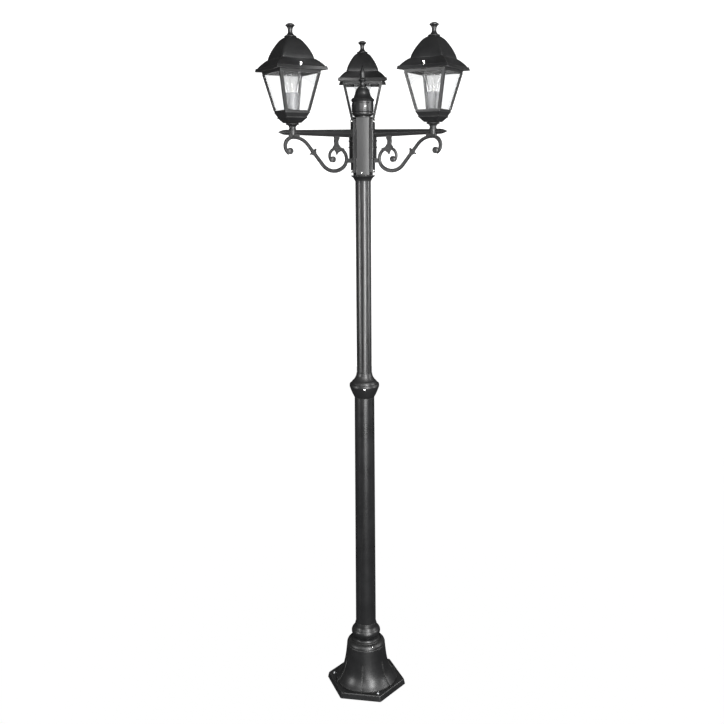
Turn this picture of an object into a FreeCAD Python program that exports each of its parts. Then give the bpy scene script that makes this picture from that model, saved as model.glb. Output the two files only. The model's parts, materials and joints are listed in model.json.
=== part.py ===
"""Garden lamp post with three lantern heads on scrolled arms.

The frame has its origin at the centre of the base's underside, +Z up. One lantern arm
points along +Y and the other two point forward, a third of a turn to either side.
All lengths are in millimetres and all angles in degrees.
"""
import FreeCAD, Part
import math
import os
import re

import Sketcher
from FreeCAD import Vector

SIZES = {
    # six-sided base casting
    "base_corner_radius": 140.8,
    "plate_height": 20,
    "plate_side_slope": 4.4,
    "plate_wall": 7,
    "plate_rim": 7,
    "base_height": 171,
    "rib_turn": 20.4,
    "bell_foot_lip": 4,
    "bell_foot_cusp": 90,
    "bell_foot_lobe": 98,
    "bell_low_height": 27,
    "bell_low_cusp": 83,
    "bell_low_lobe": 87,
    "bell_waist_height": 72,
    "bell_waist_radius": 75.5,
    "bell_top_height": 132,
    "bell_top_radius": 66.8,
    "bell_wall": 6,
    "shoulder_bend_radius": 63.6,
    "shoulder_bend_depth": 7.5,
    "shoulder_mouth_radius": 53.4,
    "bell_undercut": 2.5,
    "rib_reach": 8.5,
    "rib_mid_reach": 4,
    "rib_width": 2.6,
    "rib_height": 76,
    "bolt_circle_radius": 116,
    "bolt_hole_radius": 4.5,
    "bolt_boss_radius": 11,
    # socket in the base and the foot that stands in it
    "socket_radius": 46,
    "socket_depth": 49,
    "socket_clear_height": 15,
    "socket_wall": 8,
    "recess_radius": 52.2,
    "recess_depth": 7,
    "foot_flange_radius": 51.8,
    "foot_flange_height": 5,
    "foot_neck_radius": 41,
    "foot_neck_height": 12,
    "foot_torus_radius": 48.6,
    "foot_torus_height": 29,
    "foot_torus_depth": 18,
    "foot_step_radius": 43.5,
    "foot_step_height": 49,
    "foot_height": 72,
    "foot_ledge": 5,
    "foot_ledge_height": 6,
    # lower tube
    "tube_foot_radius": 34.9,
    "tube_head_radius": 32.6,
    "tube_wall": 2.5,
    "tube_length": 931,
    "tube_straight": 116,
    # coupling between the tubes
    "cup_spigot_length": 40,
    "cup_height": 48,
    "cup_low_radius": 41.9,
    "cup_low_height": 19,
    "cup_lip_radius": 48.9,
    "cup_lip_height": 38,
    "cup_recess_radius": 44.6,
    "cup_recess_depth": 6,
    "cup_ledge": 3.8,
    "shaft_socket_depth": 12,
    "skirt_height": 40,
    "skirt_foot_radius": 44.2,
    "skirt_foot_height": 3,
    "skirt_bend_radius": 36.5,
    "skirt_bend_height": 17,
    "skirt_waist_radius": 28,
    "skirt_waist_height": 32,
    "skirt_top_wall": 0.9,
    # upper tube
    "shaft_radius": 24.7,
    "shaft_wall": 3,
    "shaft_length": 729,
    "flute_count": 8,
    "flute_radius": 2.2,
    "flute_offset": 0.9,
    "flute_turn": 22.5,
    # hub
    "collar_height": 18,
    "collar_lip_radius": 37.3,
    "collar_lip_height": 4,
    "collar_foot_radius": 25.8,
    "collar_bend_radius": 29.5,
    "hub_height": 174,
    "hub_corner_radius": 31.1,
    "hub_mount_half": 11.5,
    "hub_face_bulge": 1.8,
    "hub_groove_radius": 1.3,
    "core_radius": 21.6,
    "core_wall": 3.6,
    "core_below_hub": 69,
    "core_above_hub": 42,
    # cap on the hub
    "cap_foot_radius": 24.2,
    "cap_foot_height": 3,
    "cap_bulge_radius": 31.3,
    "cap_bulge_height": 12,
    "cap_groove_radius": 30.2,
    "cap_groove_height": 16,
    "cap_band_radius": 32.1,
    "cap_band_height": 47,
    "cap_lip_radius": 35.8,
    "cap_lip_height": 52,
    "cap_bell_radius": 21.5,
    "cap_bell_height": 70,
    "cap_top_radius": 16.3,
    "cap_height": 86,
    "cap_wall": 3.2,
    "cap_guide_height": 13,
    "spire_neck_radius": 7.7,
    "spire_neck_height": 13,
    "spire_ring_radius": 12.6,
    "spire_ring_height": 24,
    "spire_waist_radius": 6.6,
    "spire_waist_height": 30,
    "spire_bud_radius": 8.2,
    "spire_bud_height": 44,
    "spire_height": 71,
    "spire_stud_radius": 4,
    "spire_stud_length": 9,
    # arms
    "arm_count": 3,
    "first_arm": 90,
    "arm_reach": 240,
    "arm_rise": 126,
    "bracket_width": 19,
    "bracket_depth": 10.1,
    "bracket_height": 160,
    "bracket_foot": 8,
    "saddle_width": 26,
    "saddle_depth": 13.6,
    "saddle_height": 88,
    "saddle_foot": 42,
    "beam_root_height": 25,
    "beam_root_width": 17,
    "beam_head_height": 15.5,
    "beam_head_width": 14,
    "beam_flat": 6,
    "beam_seat": 18,
    "beam_straight": 22,
    "beam_point": 47,
    "bead_radius": 2.3,
    "bead_height": 10,
    "bead_pitch": 19,
    "arm_wire_radius": 4.5,
    "scroll_width": 9.6,
    "scroll_bevel": 1.8,
    "scroll_depth": 8,
    "scroll_pad_length": 34,
    "scroll_drop": 6.4,
    "scroll_arch_radius": 58.2,
    "scroll_arch_turn": 50,
    "scroll_straight": 77.6,
    "scroll_lead": 5,
    "scroll_bowl_radius": 50.3,
    "scroll_bowl_turn": 89,
    "scroll_ring_radius": 32,
    "scroll_ring_turn": 170,
    "scroll_inner_radius": 22,
    "scroll_inner_turn": 106,
    "scroll_ball_radius": 9,
    "scroll_ball_flat": 6,
    "scroll_ball_half": 5.5,
    "scroll_curl_radius": 25,
    "scroll_curl_turn": 148,
    "scroll_knot_place": 29,
    "scroll_knot_length": 17,
    "scroll_knot_width": 25,
    "scroll_stem_reach": 92,
    "tie_foot": 30,
    "tie_height": 13,
    "tie_length": 16,
    # screws
    "arm_screw_radius": 2.5,
    "arm_screw_bite": 5,
    "arm_screw_head_radius": 4.2,
    "arm_screw_head_height": 3.2,
    "arm_screw_inset": 6,
    "grub_radius": 3,
    "cap_grub_radius": 2.5,
    "base_grub_radius": 2.5,
    "base_grub_tilt": 30,
    "base_grub_length": 17,
    "base_grub_depth": 14,
    "coupling_grub_proud": 0.8,
    "hub_grub_length": 5.6,
    "hub_grub_height": 8,
    "hub_grub_offset": 4,
    "cap_grub_height": 32,
    "cap_grub_turn": 285,
    "clearance": 0.1,
    "slip": 0.4,
    # lanterns
    "stem_height": 19.2,
    "stem_foot_radius": 11,
    "stem_waist_radius": 9.8,
    "stem_waist_height": 5,
    "stem_lip_radius": 19.8,
    "stem_lip_height": 14,
    "stem_lip_width": 4,
    "nipple_radius": 5,
    "nipple_bore": 3.4,
    "nipple_above_floor": 13,
    "nipple_depth": 3,
    "nut_radius": 8.5,
    "nut_height": 5,
    "pan_height": 31,
    "pan_foot_half": 20.5,
    "pan_tier_half": 31.5,
    "pan_tier_height": 13,
    "pan_bead_half": 33.8,
    "pan_bead_height": 16,
    "pan_floor": 14,
    "pan_inner_half": 31,
    "pan_inner_slope": 4,
    "cage_foot_half": 39.5,
    "cage_foot_band": 4,
    "cage_head_half": 65.6,
    "cage_height": 115,
    "cage_wall": 4,
    "cage_post": 8,
    "cage_rail": 8,
    "glass_thickness": 3,
    "glass_headroom": 4,
    "ear_width": 14,
    "ear_thickness": 4,
    "ear_reach": 70,
    "thumb_reach": 66,
    "thumb_hole_radius": 2.4,
    "thumb_radius": 2,
    "thumb_length": 23,
    "thumb_knob_radius": 4.2,
    "thumb_knob_height": 11,
    "sleeve_radius": 21,
    "sleeve_wall": 1.2,
    "sleeve_height": 71,
    "holder_radius": 18.4,
    "holder_height": 58,
    "holder_foot_radius": 14,
    "holder_foot_height": 12,
    "holder_mouth": 13.65,
    "holder_depth": 25,
    "bulb_cap_radius": 13.25,
    "bulb_cap_height": 23.5,
    "bulb_cap_flange": 2,
    "bulb_gap": 2,
    "bulb_radius": 29,
    "bulb_neck_radius": 14.5,
    "bulb_height": 82,
    "bulb_wall": 1,
    "roof_lip_half": 70.5,
    "roof_tip_half": 77,
    "roof_lip_height": 10,
    "roof_lip_draft": 2,
    "roof_opening_half": 60,
    "roof_cove_foot_tip": 72.5,
    "roof_cove_foot_half": 61.5,
    "roof_cove_low_tip": 67.5,
    "roof_cove_low_half": 58,
    "roof_cove_low_height": 17,
    "roof_cove_high_tip": 60,
    "roof_cove_high_half": 54.5,
    "roof_cove_high_height": 25,
    "roof_cove_tip": 53.5,
    "roof_cove_half": 52.5,
    "roof_cove_height": 31,
    "roof_low_half": 49,
    "roof_low_height": 42,
    "roof_mid_half": 42.5,
    "roof_mid_height": 57,
    "roof_high_half": 34,
    "roof_high_height": 72,
    "roof_crown_half": 25,
    "roof_crown_height": 85,
    "roof_peak_half": 15,
    "roof_top_wall": 5,
    "roof_height": 93,
    "roof_corner": 8,
    "roof_wall": 3.2,
    "knob_disc_radius": 16.8,
    "knob_disc_height": 5,
    "knob_waist_radius": 5.6,
    "knob_waist_height": 19,
    "knob_radius": 12.6,
    "knob_belt_height": 33,
    "knob_height": 39,
    "knob_stud_radius": 3,
    "knob_stud_length": 13,
    "knob_nut_radius": 6,
    "knob_nut_height": 4,
    # wiring
    "plate_strip_width": 36,
    "plate_strip_thickness": 2.5,
    "plate_strip_length": 78,
    "plate_strip_reach": 48,
    "block_width": 30,
    "block_depth": 15,
    "block_height": 22,
    "block_drop": 62,
    "earth_screw_radius": 2.5,
    "earth_head_radius": 5,
    "earth_head_height": 3,
    "earth_height": 45,
    "supply_radius": 3.5,
    "supply_bend": 24,
    "supply_rise": 2,
    "joint_block_width": 22,
    "joint_block_height": 26,
    "joint_block_rise": 8,
    "lead_radius": 2.2,
    "lead_pitch": 7.5,
    "lead_bend": 9,
    "lead_turn_up": 4.6,
    "lead_end": 6,
}

doc = FreeCAD.newDocument("LampPost")
sheet = doc.addObject("Spreadsheet::Sheet", "Sizes")
for row, (alias, number) in enumerate(SIZES.items(), start=1):
    sheet.set(f"A{row}", alias)
    sheet.set(f"B{row}", str(number))
    sheet.setAlias(f"B{row}", alias)
doc.recompute()

PARTS = []


# ---------------------------------------------------------------- working with the sheet


def bound(formula):
    """The formula with each cell's alias written as other objects refer to it."""
    return re.sub(
        r"[A-Za-z_]\w*",
        lambda word: "Sizes." + word[0] if word[0] in SIZES else word[0],
        str(formula),
    )


def size(formula):
    """What a formula of the sheet's cells comes to."""
    result = sheet.evalExpression(bound(formula))
    return float(getattr(result, "Value", result))


def bind(piece, **formulas):
    """Tie properties of a piece to formulas of the sheet's cells."""
    for name, formula in formulas.items():
        piece.setExpression(name.replace("__", "."), bound(formula))
    return piece


def kept(piece):
    """Count a piece among those that are written out."""
    PARTS.append(piece)
    return piece


def stand(piece, reach, heading):
    """Move a piece drawn on the axis out to reach, and turn it to heading."""
    return bind(
        piece,
        Placement__Base__x=f"({reach}) * cos(({heading}) * 1 deg)",
        Placement__Base__y=f"({reach}) * sin(({heading}) * 1 deg)",
        Placement__Rotation__Angle=f"({heading}) * 1 deg",
    )


# ---------------------------------------------------------------- sketches and features


def sketch_on(body, plane, name, rise="0"):
    """An empty sketch on one of the body's origin planes, or above it by rise."""
    sketch = body.newObject("Sketcher::SketchObject", name)
    base = next(f for f in body.Origin.OriginFeatures if f.Role == plane)
    sketch.AttachmentSupport = (base, [""])
    sketch.MapMode = "FlatFace"
    return bind(sketch, AttachmentOffset__Base__z=rise)


def place_point(sketch, rules, ties, side, end, across, up):
    """Hold one end of a sketch's side at a place given by two formulas."""
    for kind, axis, formula in (("DistanceX", -2, across), ("DistanceY", -1, up)):
        if formula == "0":
            rules.append(Sketcher.Constraint("PointOnObject", side, end, axis))
        else:
            ties.append((len(rules), formula))
            rules.append(Sketcher.Constraint(kind, side, end, size(formula)))


def outline(sketch, corners):
    """Draw a closed outline. A corner is (across, up), and a second pair of formulas
    after it is a point that the side to the next corner bends through."""
    first = sketch.GeometryCount
    rules, ties, bends, ends = [], [], [], []
    spots = [Vector(size(c[0]), size(c[1]), 0) for c in corners]
    for number, corner in enumerate(corners):
        start, end = spots[number], spots[(number + 1) % len(corners)]
        if len(corner) == 4:
            middle = Vector(size(corner[2]), size(corner[3]), 0)
            forward = (middle - start).cross(end - middle).z > 0
            ends.append((1, 2) if forward else (2, 1))
            points = (start, middle, end) if forward else (end, middle, start)
            sketch.addGeometry(Part.Arc(*points), False)
            bends.append((first + number, corner[2], corner[3], middle))
        else:
            ends.append((1, 2))
            sketch.addGeometry(Part.LineSegment(start, end), False)
    for number, corner in enumerate(corners):
        after = (number + 1) % len(corners)
        rules.append(
            Sketcher.Constraint(
                "Coincident", first + number, ends[number][1], first + after, ends[after][0]
            )
        )
        place_point(sketch, rules, ties, first + number, ends[number][0], corner[0], corner[1])
    for side, across, up, middle in bends:
        point = sketch.addGeometry(Part.Point(middle), True)
        rules.append(Sketcher.Constraint("PointOnObject", point, 1, side))
        place_point(sketch, rules, ties, point, 1, across, up)
    start = sketch.ConstraintCount
    sketch.addConstraint(rules)
    for number, formula in ties:
        sketch.setExpression(f"Constraints[{start + number}]", bound(formula))
    return sketch


def circle(sketch, radius, across="0", up="0"):
    """Draw a circle about a point that two formulas give."""
    centre = Vector(size(across), size(up), 0)
    side = sketch.addGeometry(Part.Circle(centre, Vector(0, 0, 1), size(radius)), False)
    rules, ties = [Sketcher.Constraint("Radius", side, size(radius))], [(0, radius)]
    place_point(sketch, rules, ties, side, 3, across, up)
    start = sketch.ConstraintCount
    sketch.addConstraint(rules)
    for number, formula in ties:
        sketch.setExpression(f"Constraints[{start + number}]", bound(formula))
    return sketch


def new_body(name):
    """An empty body."""
    return doc.addObject("PartDesign::Body", name)


def turning(body, corners, name, groove=False):
    """Add a revolved feature, or cut one, about the body's upright axis."""
    sketch = outline(sketch_on(body, "XZ_Plane", name + "_outline"), corners)
    kind = "PartDesign::Groove" if groove else "PartDesign::Revolution"
    feature = body.newObject(kind, name)
    feature.Profile = sketch
    feature.ReferenceAxis = (sketch, ["V_Axis"])
    feature.Angle = 360
    return feature


def turned(name, corners):
    """A body that is one revolved outline of (radius, height) corners."""
    body = new_body(name)
    turning(body, corners, name + "_turning")
    return body


def padded(body, sketch, name, length, midplane=False, pocket=False, flip=False):
    """Add a pad, or cut a pocket, from a sketch of the body."""
    feature = body.newObject("PartDesign::Pocket" if pocket else "PartDesign::Pad", name)
    feature.Profile = sketch
    feature.Midplane = midplane
    feature.Reversed = flip
    return bind(feature, Length=length)


def patterned(body, feature, name, count):
    """Repeat a feature evenly about the body's upright axis."""
    pattern = body.newObject("PartDesign::PolarPattern", name)
    pattern.Originals = [feature]
    axis = next(f for f in body.Origin.OriginFeatures if f.Role == "Z_Axis")
    pattern.Axis = (axis, [""])
    pattern.Angle = 360
    bind(pattern, Occurrences=count)
    body.Tip = pattern
    return pattern


def lofted(body, sketches, name, ruled=False, cut=False):
    """Add, or cut, a loft through sketches of the body."""
    kind = "PartDesign::SubtractiveLoft" if cut else "PartDesign::AdditiveLoft"
    loft = body.newObject(kind, name)
    loft.Profile = sketches[0]
    loft.Sections = sketches[1:]
    loft.Ruled = ruled
    loft.Closed = False
    return loft


# ---------------------------------------------------------------- primitives and booleans


def rod(name, radius, start, length, reach="0", heading="0", tilt="0", aside="0"):
    """A cylinder that points outward from the post's axis along heading, raised by tilt.
    start is the height of its inner end, reach that end's distance from the axis, and
    aside how far it stands to the left of the heading."""
    piece = bind(doc.addObject("Part::Cylinder", name), Radius=radius, Height=length)
    outward = Vector(math.cos(math.radians(size(heading))), math.sin(math.radians(size(heading))), 0)
    rise = math.radians(size(tilt))
    aim = outward * math.cos(rise) + Vector(0, 0, math.sin(rise))
    leftward = Vector(-outward.y, outward.x, 0)
    piece.Placement = FreeCAD.Placement(
        outward * size(reach) + leftward * size(aside) + Vector(0, 0, size(start)),
        FreeCAD.Rotation(Vector(0, 0, 1), aim),
    )
    return piece


def upright(name, radius, start, length, across="0", along="0"):
    """A cylinder that stands up from height start, at (across, along) from the axis."""
    return bind(
        doc.addObject("Part::Cylinder", name),
        Radius=radius,
        Height=length,
        Placement__Base__x=across,
        Placement__Base__y=along,
        Placement__Base__z=start,
    )


def block(name, low, high):
    """A box between two corners, each three formulas."""
    names = ("Length", "Width", "Height")
    spans = {n: f"({h}) - ({b})" for n, b, h in zip(names, low, high)}
    corner = {f"Placement__Base__{axis}": b for axis, b in zip("xyz", low)}
    return bind(doc.addObject("Part::Box", name), **spans, **corner)


def frustum(name, low, high, foot, head):
    """A tapered block between heights low and high. foot and head are each
    (x from, x to, half width along y)."""
    piece = doc.addObject("Part::Wedge", name)
    piece.Placement.Rotation = FreeCAD.Rotation(Vector(1, 0, 0), 90)
    return bind(
        piece,
        Ymin=low,
        Ymax=high,
        Xmin=foot[0],
        Xmax=foot[1],
        Zmin=f"-({foot[2]})",
        Zmax=foot[2],
        X2min=head[0],
        X2max=head[1],
        Z2min=f"-({head[2]})",
        Z2max=head[2],
    )


def square_frustum(name, low, high, foot, head):
    """A square frustum about the axis, with half sides foot and head."""
    return frustum(name, low, high, (f"-({foot})", foot, foot), (f"-({head})", head, head))


def joined(name, pieces):
    """One solid out of several that touch or overlap."""
    fuse = doc.addObject("Part::MultiFuse", name)
    fuse.Shapes = pieces
    fuse.Refine = True
    return fuse


def grouped(name, pieces):
    """Several solids that are one kind of part and stay apart."""
    group = doc.addObject("Part::Compound", name)
    group.Links = pieces
    return group


def drilled(name, piece, holes):
    """The piece with the holes' solids cut out of it."""
    tool = holes[0] if len(holes) == 1 else grouped(name + "_drills", holes)
    cut = doc.addObject("Part::Cut", name)
    cut.Base = piece
    cut.Tool = tool
    return cut


def shaped(name, shape):
    """A piece whose shape is worked out here from the sheet's sizes."""
    piece = doc.addObject("Part::Feature", name)
    piece.Shape = shape
    return piece


def thirds(first):
    """Three headings, a third of a turn apart."""
    return [f"({first}) + {120 * number}" for number in range(3)]


# ---------------------------------------------------------------- heights that pieces share

FOOT_SEAT = "base_height - recess_depth"
TUBE_FOOT = f"{FOOT_SEAT} - socket_depth + foot_ledge_height"
CUP_SEAT = f"{TUBE_FOOT} + tube_length"
SKIRT_SEAT = f"{CUP_SEAT} + cup_height - cup_recess_depth"
SHAFT_FOOT = f"{CUP_SEAT} - shaft_socket_depth"
HUB_SEAT = f"{SHAFT_FOOT} + shaft_length"
CAP_SEAT = f"{HUB_SEAT} + hub_height"
CORE_FOOT = f"{HUB_SEAT} - core_below_hub"
CORE_HEAD = f"{CAP_SEAT} + core_above_hub"
SPIRE_SEAT = f"{CAP_SEAT} + cap_height"
ARM_LEVEL = f"{HUB_SEAT} + arm_rise"
BEAM_UNDERSIDE = f"{ARM_LEVEL} - beam_head_height / 2"
LANTERN_SEAT = f"{ARM_LEVEL} + beam_head_height / 2"
PAN_SEAT = f"{LANTERN_SEAT} + stem_height"
PAN_FLOOR = f"{PAN_SEAT} + pan_floor"
CAGE_SEAT = f"{PAN_SEAT} + pan_height"
ROOF_SEAT = f"{CAGE_SEAT} + cage_height"
LIP_TOP = f"{ROOF_SEAT} + roof_lip_height"
ROOF_TOP = f"{ROOF_SEAT} + roof_height"
MOUNT_REACH = "sqrt(hub_corner_radius^2 - hub_mount_half^2)"
FREE_FACES = thirds("first_arm + 60")
ARM_HEADINGS = thirds("first_arm")
ARM_NAMES = ("rear", "left", "right")


# ---------------------------------------------------------------- base and lower column


def polygon_corners(count, radius, first="0"):
    """The corners of a regular polygon as pairs of formulas."""
    turns = [f"({first} + {360 * number / count}) * 1 deg" for number in range(count)]
    return [(f"({radius}) * cos({turn})", f"({radius}) * sin({turn})") for turn in turns]


def lobed_corners(count, cusp, lobe):
    """A ring of bowed sides that meet at cusps and swell out to lobes between them."""
    cusps = polygon_corners(count, cusp)
    lobes = polygon_corners(count, lobe, first=str(180 / count))
    return [here + swell for here, swell in zip(cusps, lobes)]


def make_base():
    """The base: a hollow six-sided plate, a bell with six petals and a rib between each
    pair, and a socket at the top for the column."""
    body = new_body("base_body")
    low = sketch_on(body, "XY_Plane", "plate_underside")
    high = sketch_on(body, "XY_Plane", "plate_topside", rise="plate_height")
    outline(low, polygon_corners(6, "base_corner_radius", first="30"))
    outline(high, polygon_corners(6, "base_corner_radius - plate_side_slope", first="30"))
    lofted(body, [low, high], "plate", ruled=True)

    hollow = sketch_on(body, "XY_Plane", "plate_hollow_outline")
    outline(hollow, polygon_corners(6, "base_corner_radius - plate_rim", first="30"))
    padded(body, hollow, "plate_hollow", "plate_height - plate_wall", pocket=True, flip=True)
    boss = sketch_on(body, "XY_Plane", "bolt_boss_outline")
    circle(boss, "bolt_boss_radius", "bolt_circle_radius * cos(30 deg)", "bolt_circle_radius / 2")
    patterned(body, padded(body, boss, "bolt_boss", "plate_height - plate_wall"), "bolt_bosses", "3")

    step = sketch_on(body, "XY_Plane", "petal_step_outline", rise="plate_height")
    outline(step, lobed_corners(6, "bell_foot_cusp - bell_undercut", "bell_foot_lobe - bell_undercut"))
    padded(body, step, "petal_step", "bell_foot_lip")
    levels = (
        ("bell_foot_lip", "bell_foot_cusp", "bell_foot_lobe"),
        ("bell_low_height", "bell_low_cusp", "bell_low_lobe"),
        ("bell_waist_height", "bell_waist_radius", "bell_waist_radius"),
        ("bell_top_height", "bell_top_radius", "bell_top_radius"),
    )
    rings = []
    for rise, cusp, lobe in levels:
        ring = sketch_on(body, "XY_Plane", f"petals_at_{rise}", rise=f"plate_height + {rise}")
        rings.append(outline(ring, lobed_corners(6, cusp, lobe)))
    lofted(body, rings, "bell")

    top = "plate_height + bell_top_height"
    shoulder = [
        ("0", top),
        ("bell_top_radius", top, "shoulder_bend_radius", "base_height - shoulder_bend_depth"),
        ("shoulder_mouth_radius", "base_height"),
        ("0", "base_height"),
    ]
    turning(body, shoulder, "shoulder")

    rib = sketch_on(body, "XZ_Plane", "rib_outline")
    rib_corners = [
        ("bell_foot_cusp - bell_wall / 2", "plate_height"),
        (
            "bell_foot_cusp + rib_reach",
            "plate_height",
            "bell_low_cusp + rib_mid_reach",
            "plate_height + bell_low_height",
        ),
        ("bell_waist_radius", "plate_height + rib_height"),
        ("bell_waist_radius - bell_wall / 2", "plate_height + rib_height"),
        ("bell_low_cusp - bell_wall / 2", "plate_height + bell_low_height"),
    ]
    outline(rib, rib_corners)
    patterned(body, padded(body, rib, "rib", "rib_width", midplane=True), "ribs", "6")

    mouth = f"{FOOT_SEAT} - socket_depth"
    ceiling = f"{mouth} + socket_clear_height"
    cavity = [
        ("0", "0"),
        ("bell_foot_cusp - bell_wall", "0"),
        ("bell_foot_cusp - bell_wall", "plate_height"),
        ("bell_low_cusp - bell_wall", "plate_height + bell_low_height"),
        ("bell_waist_radius - bell_wall", "plate_height + bell_waist_height"),
        ("bell_top_radius - bell_wall", ceiling),
        ("socket_radius + socket_wall", ceiling),
        ("socket_radius + socket_wall", mouth),
        ("socket_radius", mouth),
        ("socket_radius", FOOT_SEAT),
        ("recess_radius", FOOT_SEAT),
        ("recess_radius", "base_height"),
        ("0", "base_height"),
    ]
    turning(body, cavity, "cavity", groove=True)

    corner = thirds("30")
    holes = [
        upright(
            f"bolt_hole_{number}",
            "bolt_hole_radius",
            "0",
            "plate_height",
            f"bolt_circle_radius * cos(({heading}) * 1 deg)",
            f"bolt_circle_radius * sin(({heading}) * 1 deg)",
        )
        for number, heading in enumerate(corner)
    ]
    holes += [
        base_grub_rod(f"base_grub_hole_{number}", "base_grub_radius + clearance", heading, "2")
        for number, heading in enumerate(corner)
    ]
    stand(kept(drilled("base_casting", body, holes)), "0", "rib_turn")
    screws = [
        base_grub_rod(f"base_grub_{number}", "base_grub_radius", heading, "0")
        for number, heading in enumerate(corner)
    ]
    stand(kept(grouped("base_set_screws", screws)), "0", "rib_turn")


def base_grub_rod(name, radius, heading, longer):
    """A rod in the place of one of the base's set screws, longer at both ends by longer."""
    tip = "socket_radius + base_grub_radius * sin(base_grub_tilt * 1 deg) + clearance"
    return rod(
        name,
        radius,
        f"base_height - base_grub_depth - ({longer}) * sin(base_grub_tilt * 1 deg)",
        f"base_grub_length + 3 * ({longer})",
        f"{tip} - ({longer}) * cos(base_grub_tilt * 1 deg)",
        heading,
        "base_grub_tilt",
    )


def make_column_foot():
    """The turned foot of the column, with a spigot for the base and a bore for the tube."""
    foot, bore = FOOT_SEAT, "tube_foot_radius + clearance"
    spigot = f"{foot} - socket_depth"
    corners = [
        (f"{bore} - foot_ledge", spigot),
        ("socket_radius - clearance", spigot),
        ("socket_radius - clearance", foot),
        ("foot_flange_radius", foot),
        (
            "foot_flange_radius",
            f"{foot} + foot_flange_height / 2",
            "foot_flange_radius - 1",
            f"{foot} + foot_flange_height",
        ),
        (
            "foot_flange_radius - 3",
            f"{foot} + foot_flange_height",
            "foot_neck_radius + 1",
            f"{foot} + foot_neck_height - 2",
        ),
        (
            "foot_neck_radius",
            f"{foot} + foot_neck_height",
            "foot_neck_radius + 1",
            f"{foot} + foot_neck_height + 4",
        ),
        ("foot_torus_radius - 3.5", f"{foot} + foot_torus_height - foot_torus_depth / 2"),
        (
            "foot_torus_radius - 2",
            f"{foot} + foot_torus_height - foot_torus_depth / 2",
            "foot_torus_radius",
            f"{foot} + foot_torus_height - foot_torus_depth / 4",
        ),
        (
            "foot_torus_radius - 1.5",
            f"{foot} + foot_torus_height",
            "foot_torus_radius - 0.4",
            f"{foot} + foot_torus_height + foot_torus_depth / 4",
        ),
        ("foot_torus_radius - 3.5", f"{foot} + foot_torus_height + foot_torus_depth / 2"),
        (
            "foot_step_radius",
            f"{foot} + foot_step_height",
            "(foot_step_radius + tube_foot_radius) / 2 - 0.6",
            f"{foot} + (foot_step_height + foot_height) / 2",
        ),
        (f"{bore} + 0.8", f"{foot} + foot_height"),
        (bore, f"{foot} + foot_height"),
        (bore, TUBE_FOOT),
        (f"{bore} - foot_ledge", TUBE_FOOT),
    ]
    kept(turned("column_foot", corners))


def make_lower_tube():
    """The plain lower tube, straight in its foot and then slightly tapered."""
    straight = f"{TUBE_FOOT} + tube_straight"
    corners = [
        ("tube_foot_radius - tube_wall", TUBE_FOOT),
        ("tube_foot_radius", TUBE_FOOT),
        ("tube_foot_radius", straight),
        ("tube_head_radius", CUP_SEAT),
        ("tube_head_radius - tube_wall", CUP_SEAT),
        ("tube_foot_radius - tube_wall", straight),
    ]
    kept(turned("lower_tube", corners))


def make_coupling():
    """The cup on the lower tube, the skirt that closes it and the screws that clamp the
    upper tube in it."""
    seat, bore = CUP_SEAT, "shaft_radius + clearance"
    spigot = "tube_head_radius - tube_wall - clearance"
    cup = [
        (f"{bore} - cup_ledge", f"{seat} - cup_spigot_length"),
        (spigot, f"{seat} - cup_spigot_length"),
        (spigot, seat),
        (
            "tube_head_radius",
            seat,
            "cup_low_radius",
            f"{seat} + cup_low_height",
        ),
        (
            "cup_lip_radius - 0.8",
            f"{seat} + cup_lip_height - 3",
            "cup_lip_radius",
            f"{seat} + cup_lip_height",
        ),
        (
            "cup_lip_radius - 0.5",
            f"{seat} + cup_lip_height + 5",
            "cup_lip_radius - 1.4",
            f"{seat} + cup_height - 1",
        ),
        ("cup_lip_radius - 3", f"{seat} + cup_height"),
        ("cup_recess_radius", f"{seat} + cup_height"),
        ("cup_recess_radius", SKIRT_SEAT),
        (bore, SKIRT_SEAT),
        (bore, SHAFT_FOOT),
        (f"{bore} - cup_ledge", SHAFT_FOOT),
    ]
    level = f"{seat} + cup_lip_height - 2"
    tip = "shaft_radius + clearance"
    length = "cup_lip_radius - shaft_radius + coupling_grub_proud"
    holes = [
        rod(f"coupling_hole_{n}", "grub_radius + clearance", level, "cup_lip_radius", "shaft_radius - 2", h)
        for n, h in enumerate(FREE_FACES)
    ]
    kept(drilled("coupling_cup", turned("cup_body", cup), holes))
    screws = [
        rod(f"coupling_grub_{n}", "grub_radius", level, length, tip, h)
        for n, h in enumerate(FREE_FACES)
    ]
    kept(grouped("coupling_set_screws", screws))

    seat = SKIRT_SEAT
    skirt = [
        (bore, seat),
        ("skirt_foot_radius - 0.8", seat),
        ("skirt_foot_radius", f"{seat} + skirt_foot_height"),
        (
            "skirt_foot_radius - 1.4",
            f"{seat} + skirt_foot_height * 2.5",
            "skirt_bend_radius + 2",
            f"{seat} + skirt_bend_height - 2.5",
        ),
        (
            "skirt_bend_radius - 1",
            f"{seat} + skirt_bend_height",
            "skirt_waist_radius + 1.6",
            f"{seat} + skirt_waist_height - 6",
        ),
        ("skirt_waist_radius - 1", f"{seat} + skirt_waist_height"),
        (f"{bore} + skirt_top_wall", f"{seat} + skirt_height"),
        (bore, f"{seat} + skirt_height"),
    ]
    kept(turned("coupling_skirt", skirt))


def make_upper_tube():
    """The fluted upper tube."""
    body = new_body("upper_tube")
    ring = sketch_on(body, "XY_Plane", "shaft_section", rise=SHAFT_FOOT)
    circle(ring, "shaft_radius")
    circle(ring, "shaft_radius - shaft_wall")
    padded(body, ring, "shaft", "shaft_length")
    flute = sketch_on(body, "XY_Plane", "flute_section", rise=SHAFT_FOOT)
    reach = "(shaft_radius + flute_offset)"
    turn = "cos(flute_turn * 1 deg)", "sin(flute_turn * 1 deg)"
    circle(flute, "flute_radius", f"{reach} * {turn[0]}", f"{reach} * {turn[1]}")
    cut = padded(body, flute, "flute", "shaft_length", pocket=True, flip=True)
    patterned(body, cut, "flutes", "flute_count")
    kept(body)


# ---------------------------------------------------------------- hub and cap


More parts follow.
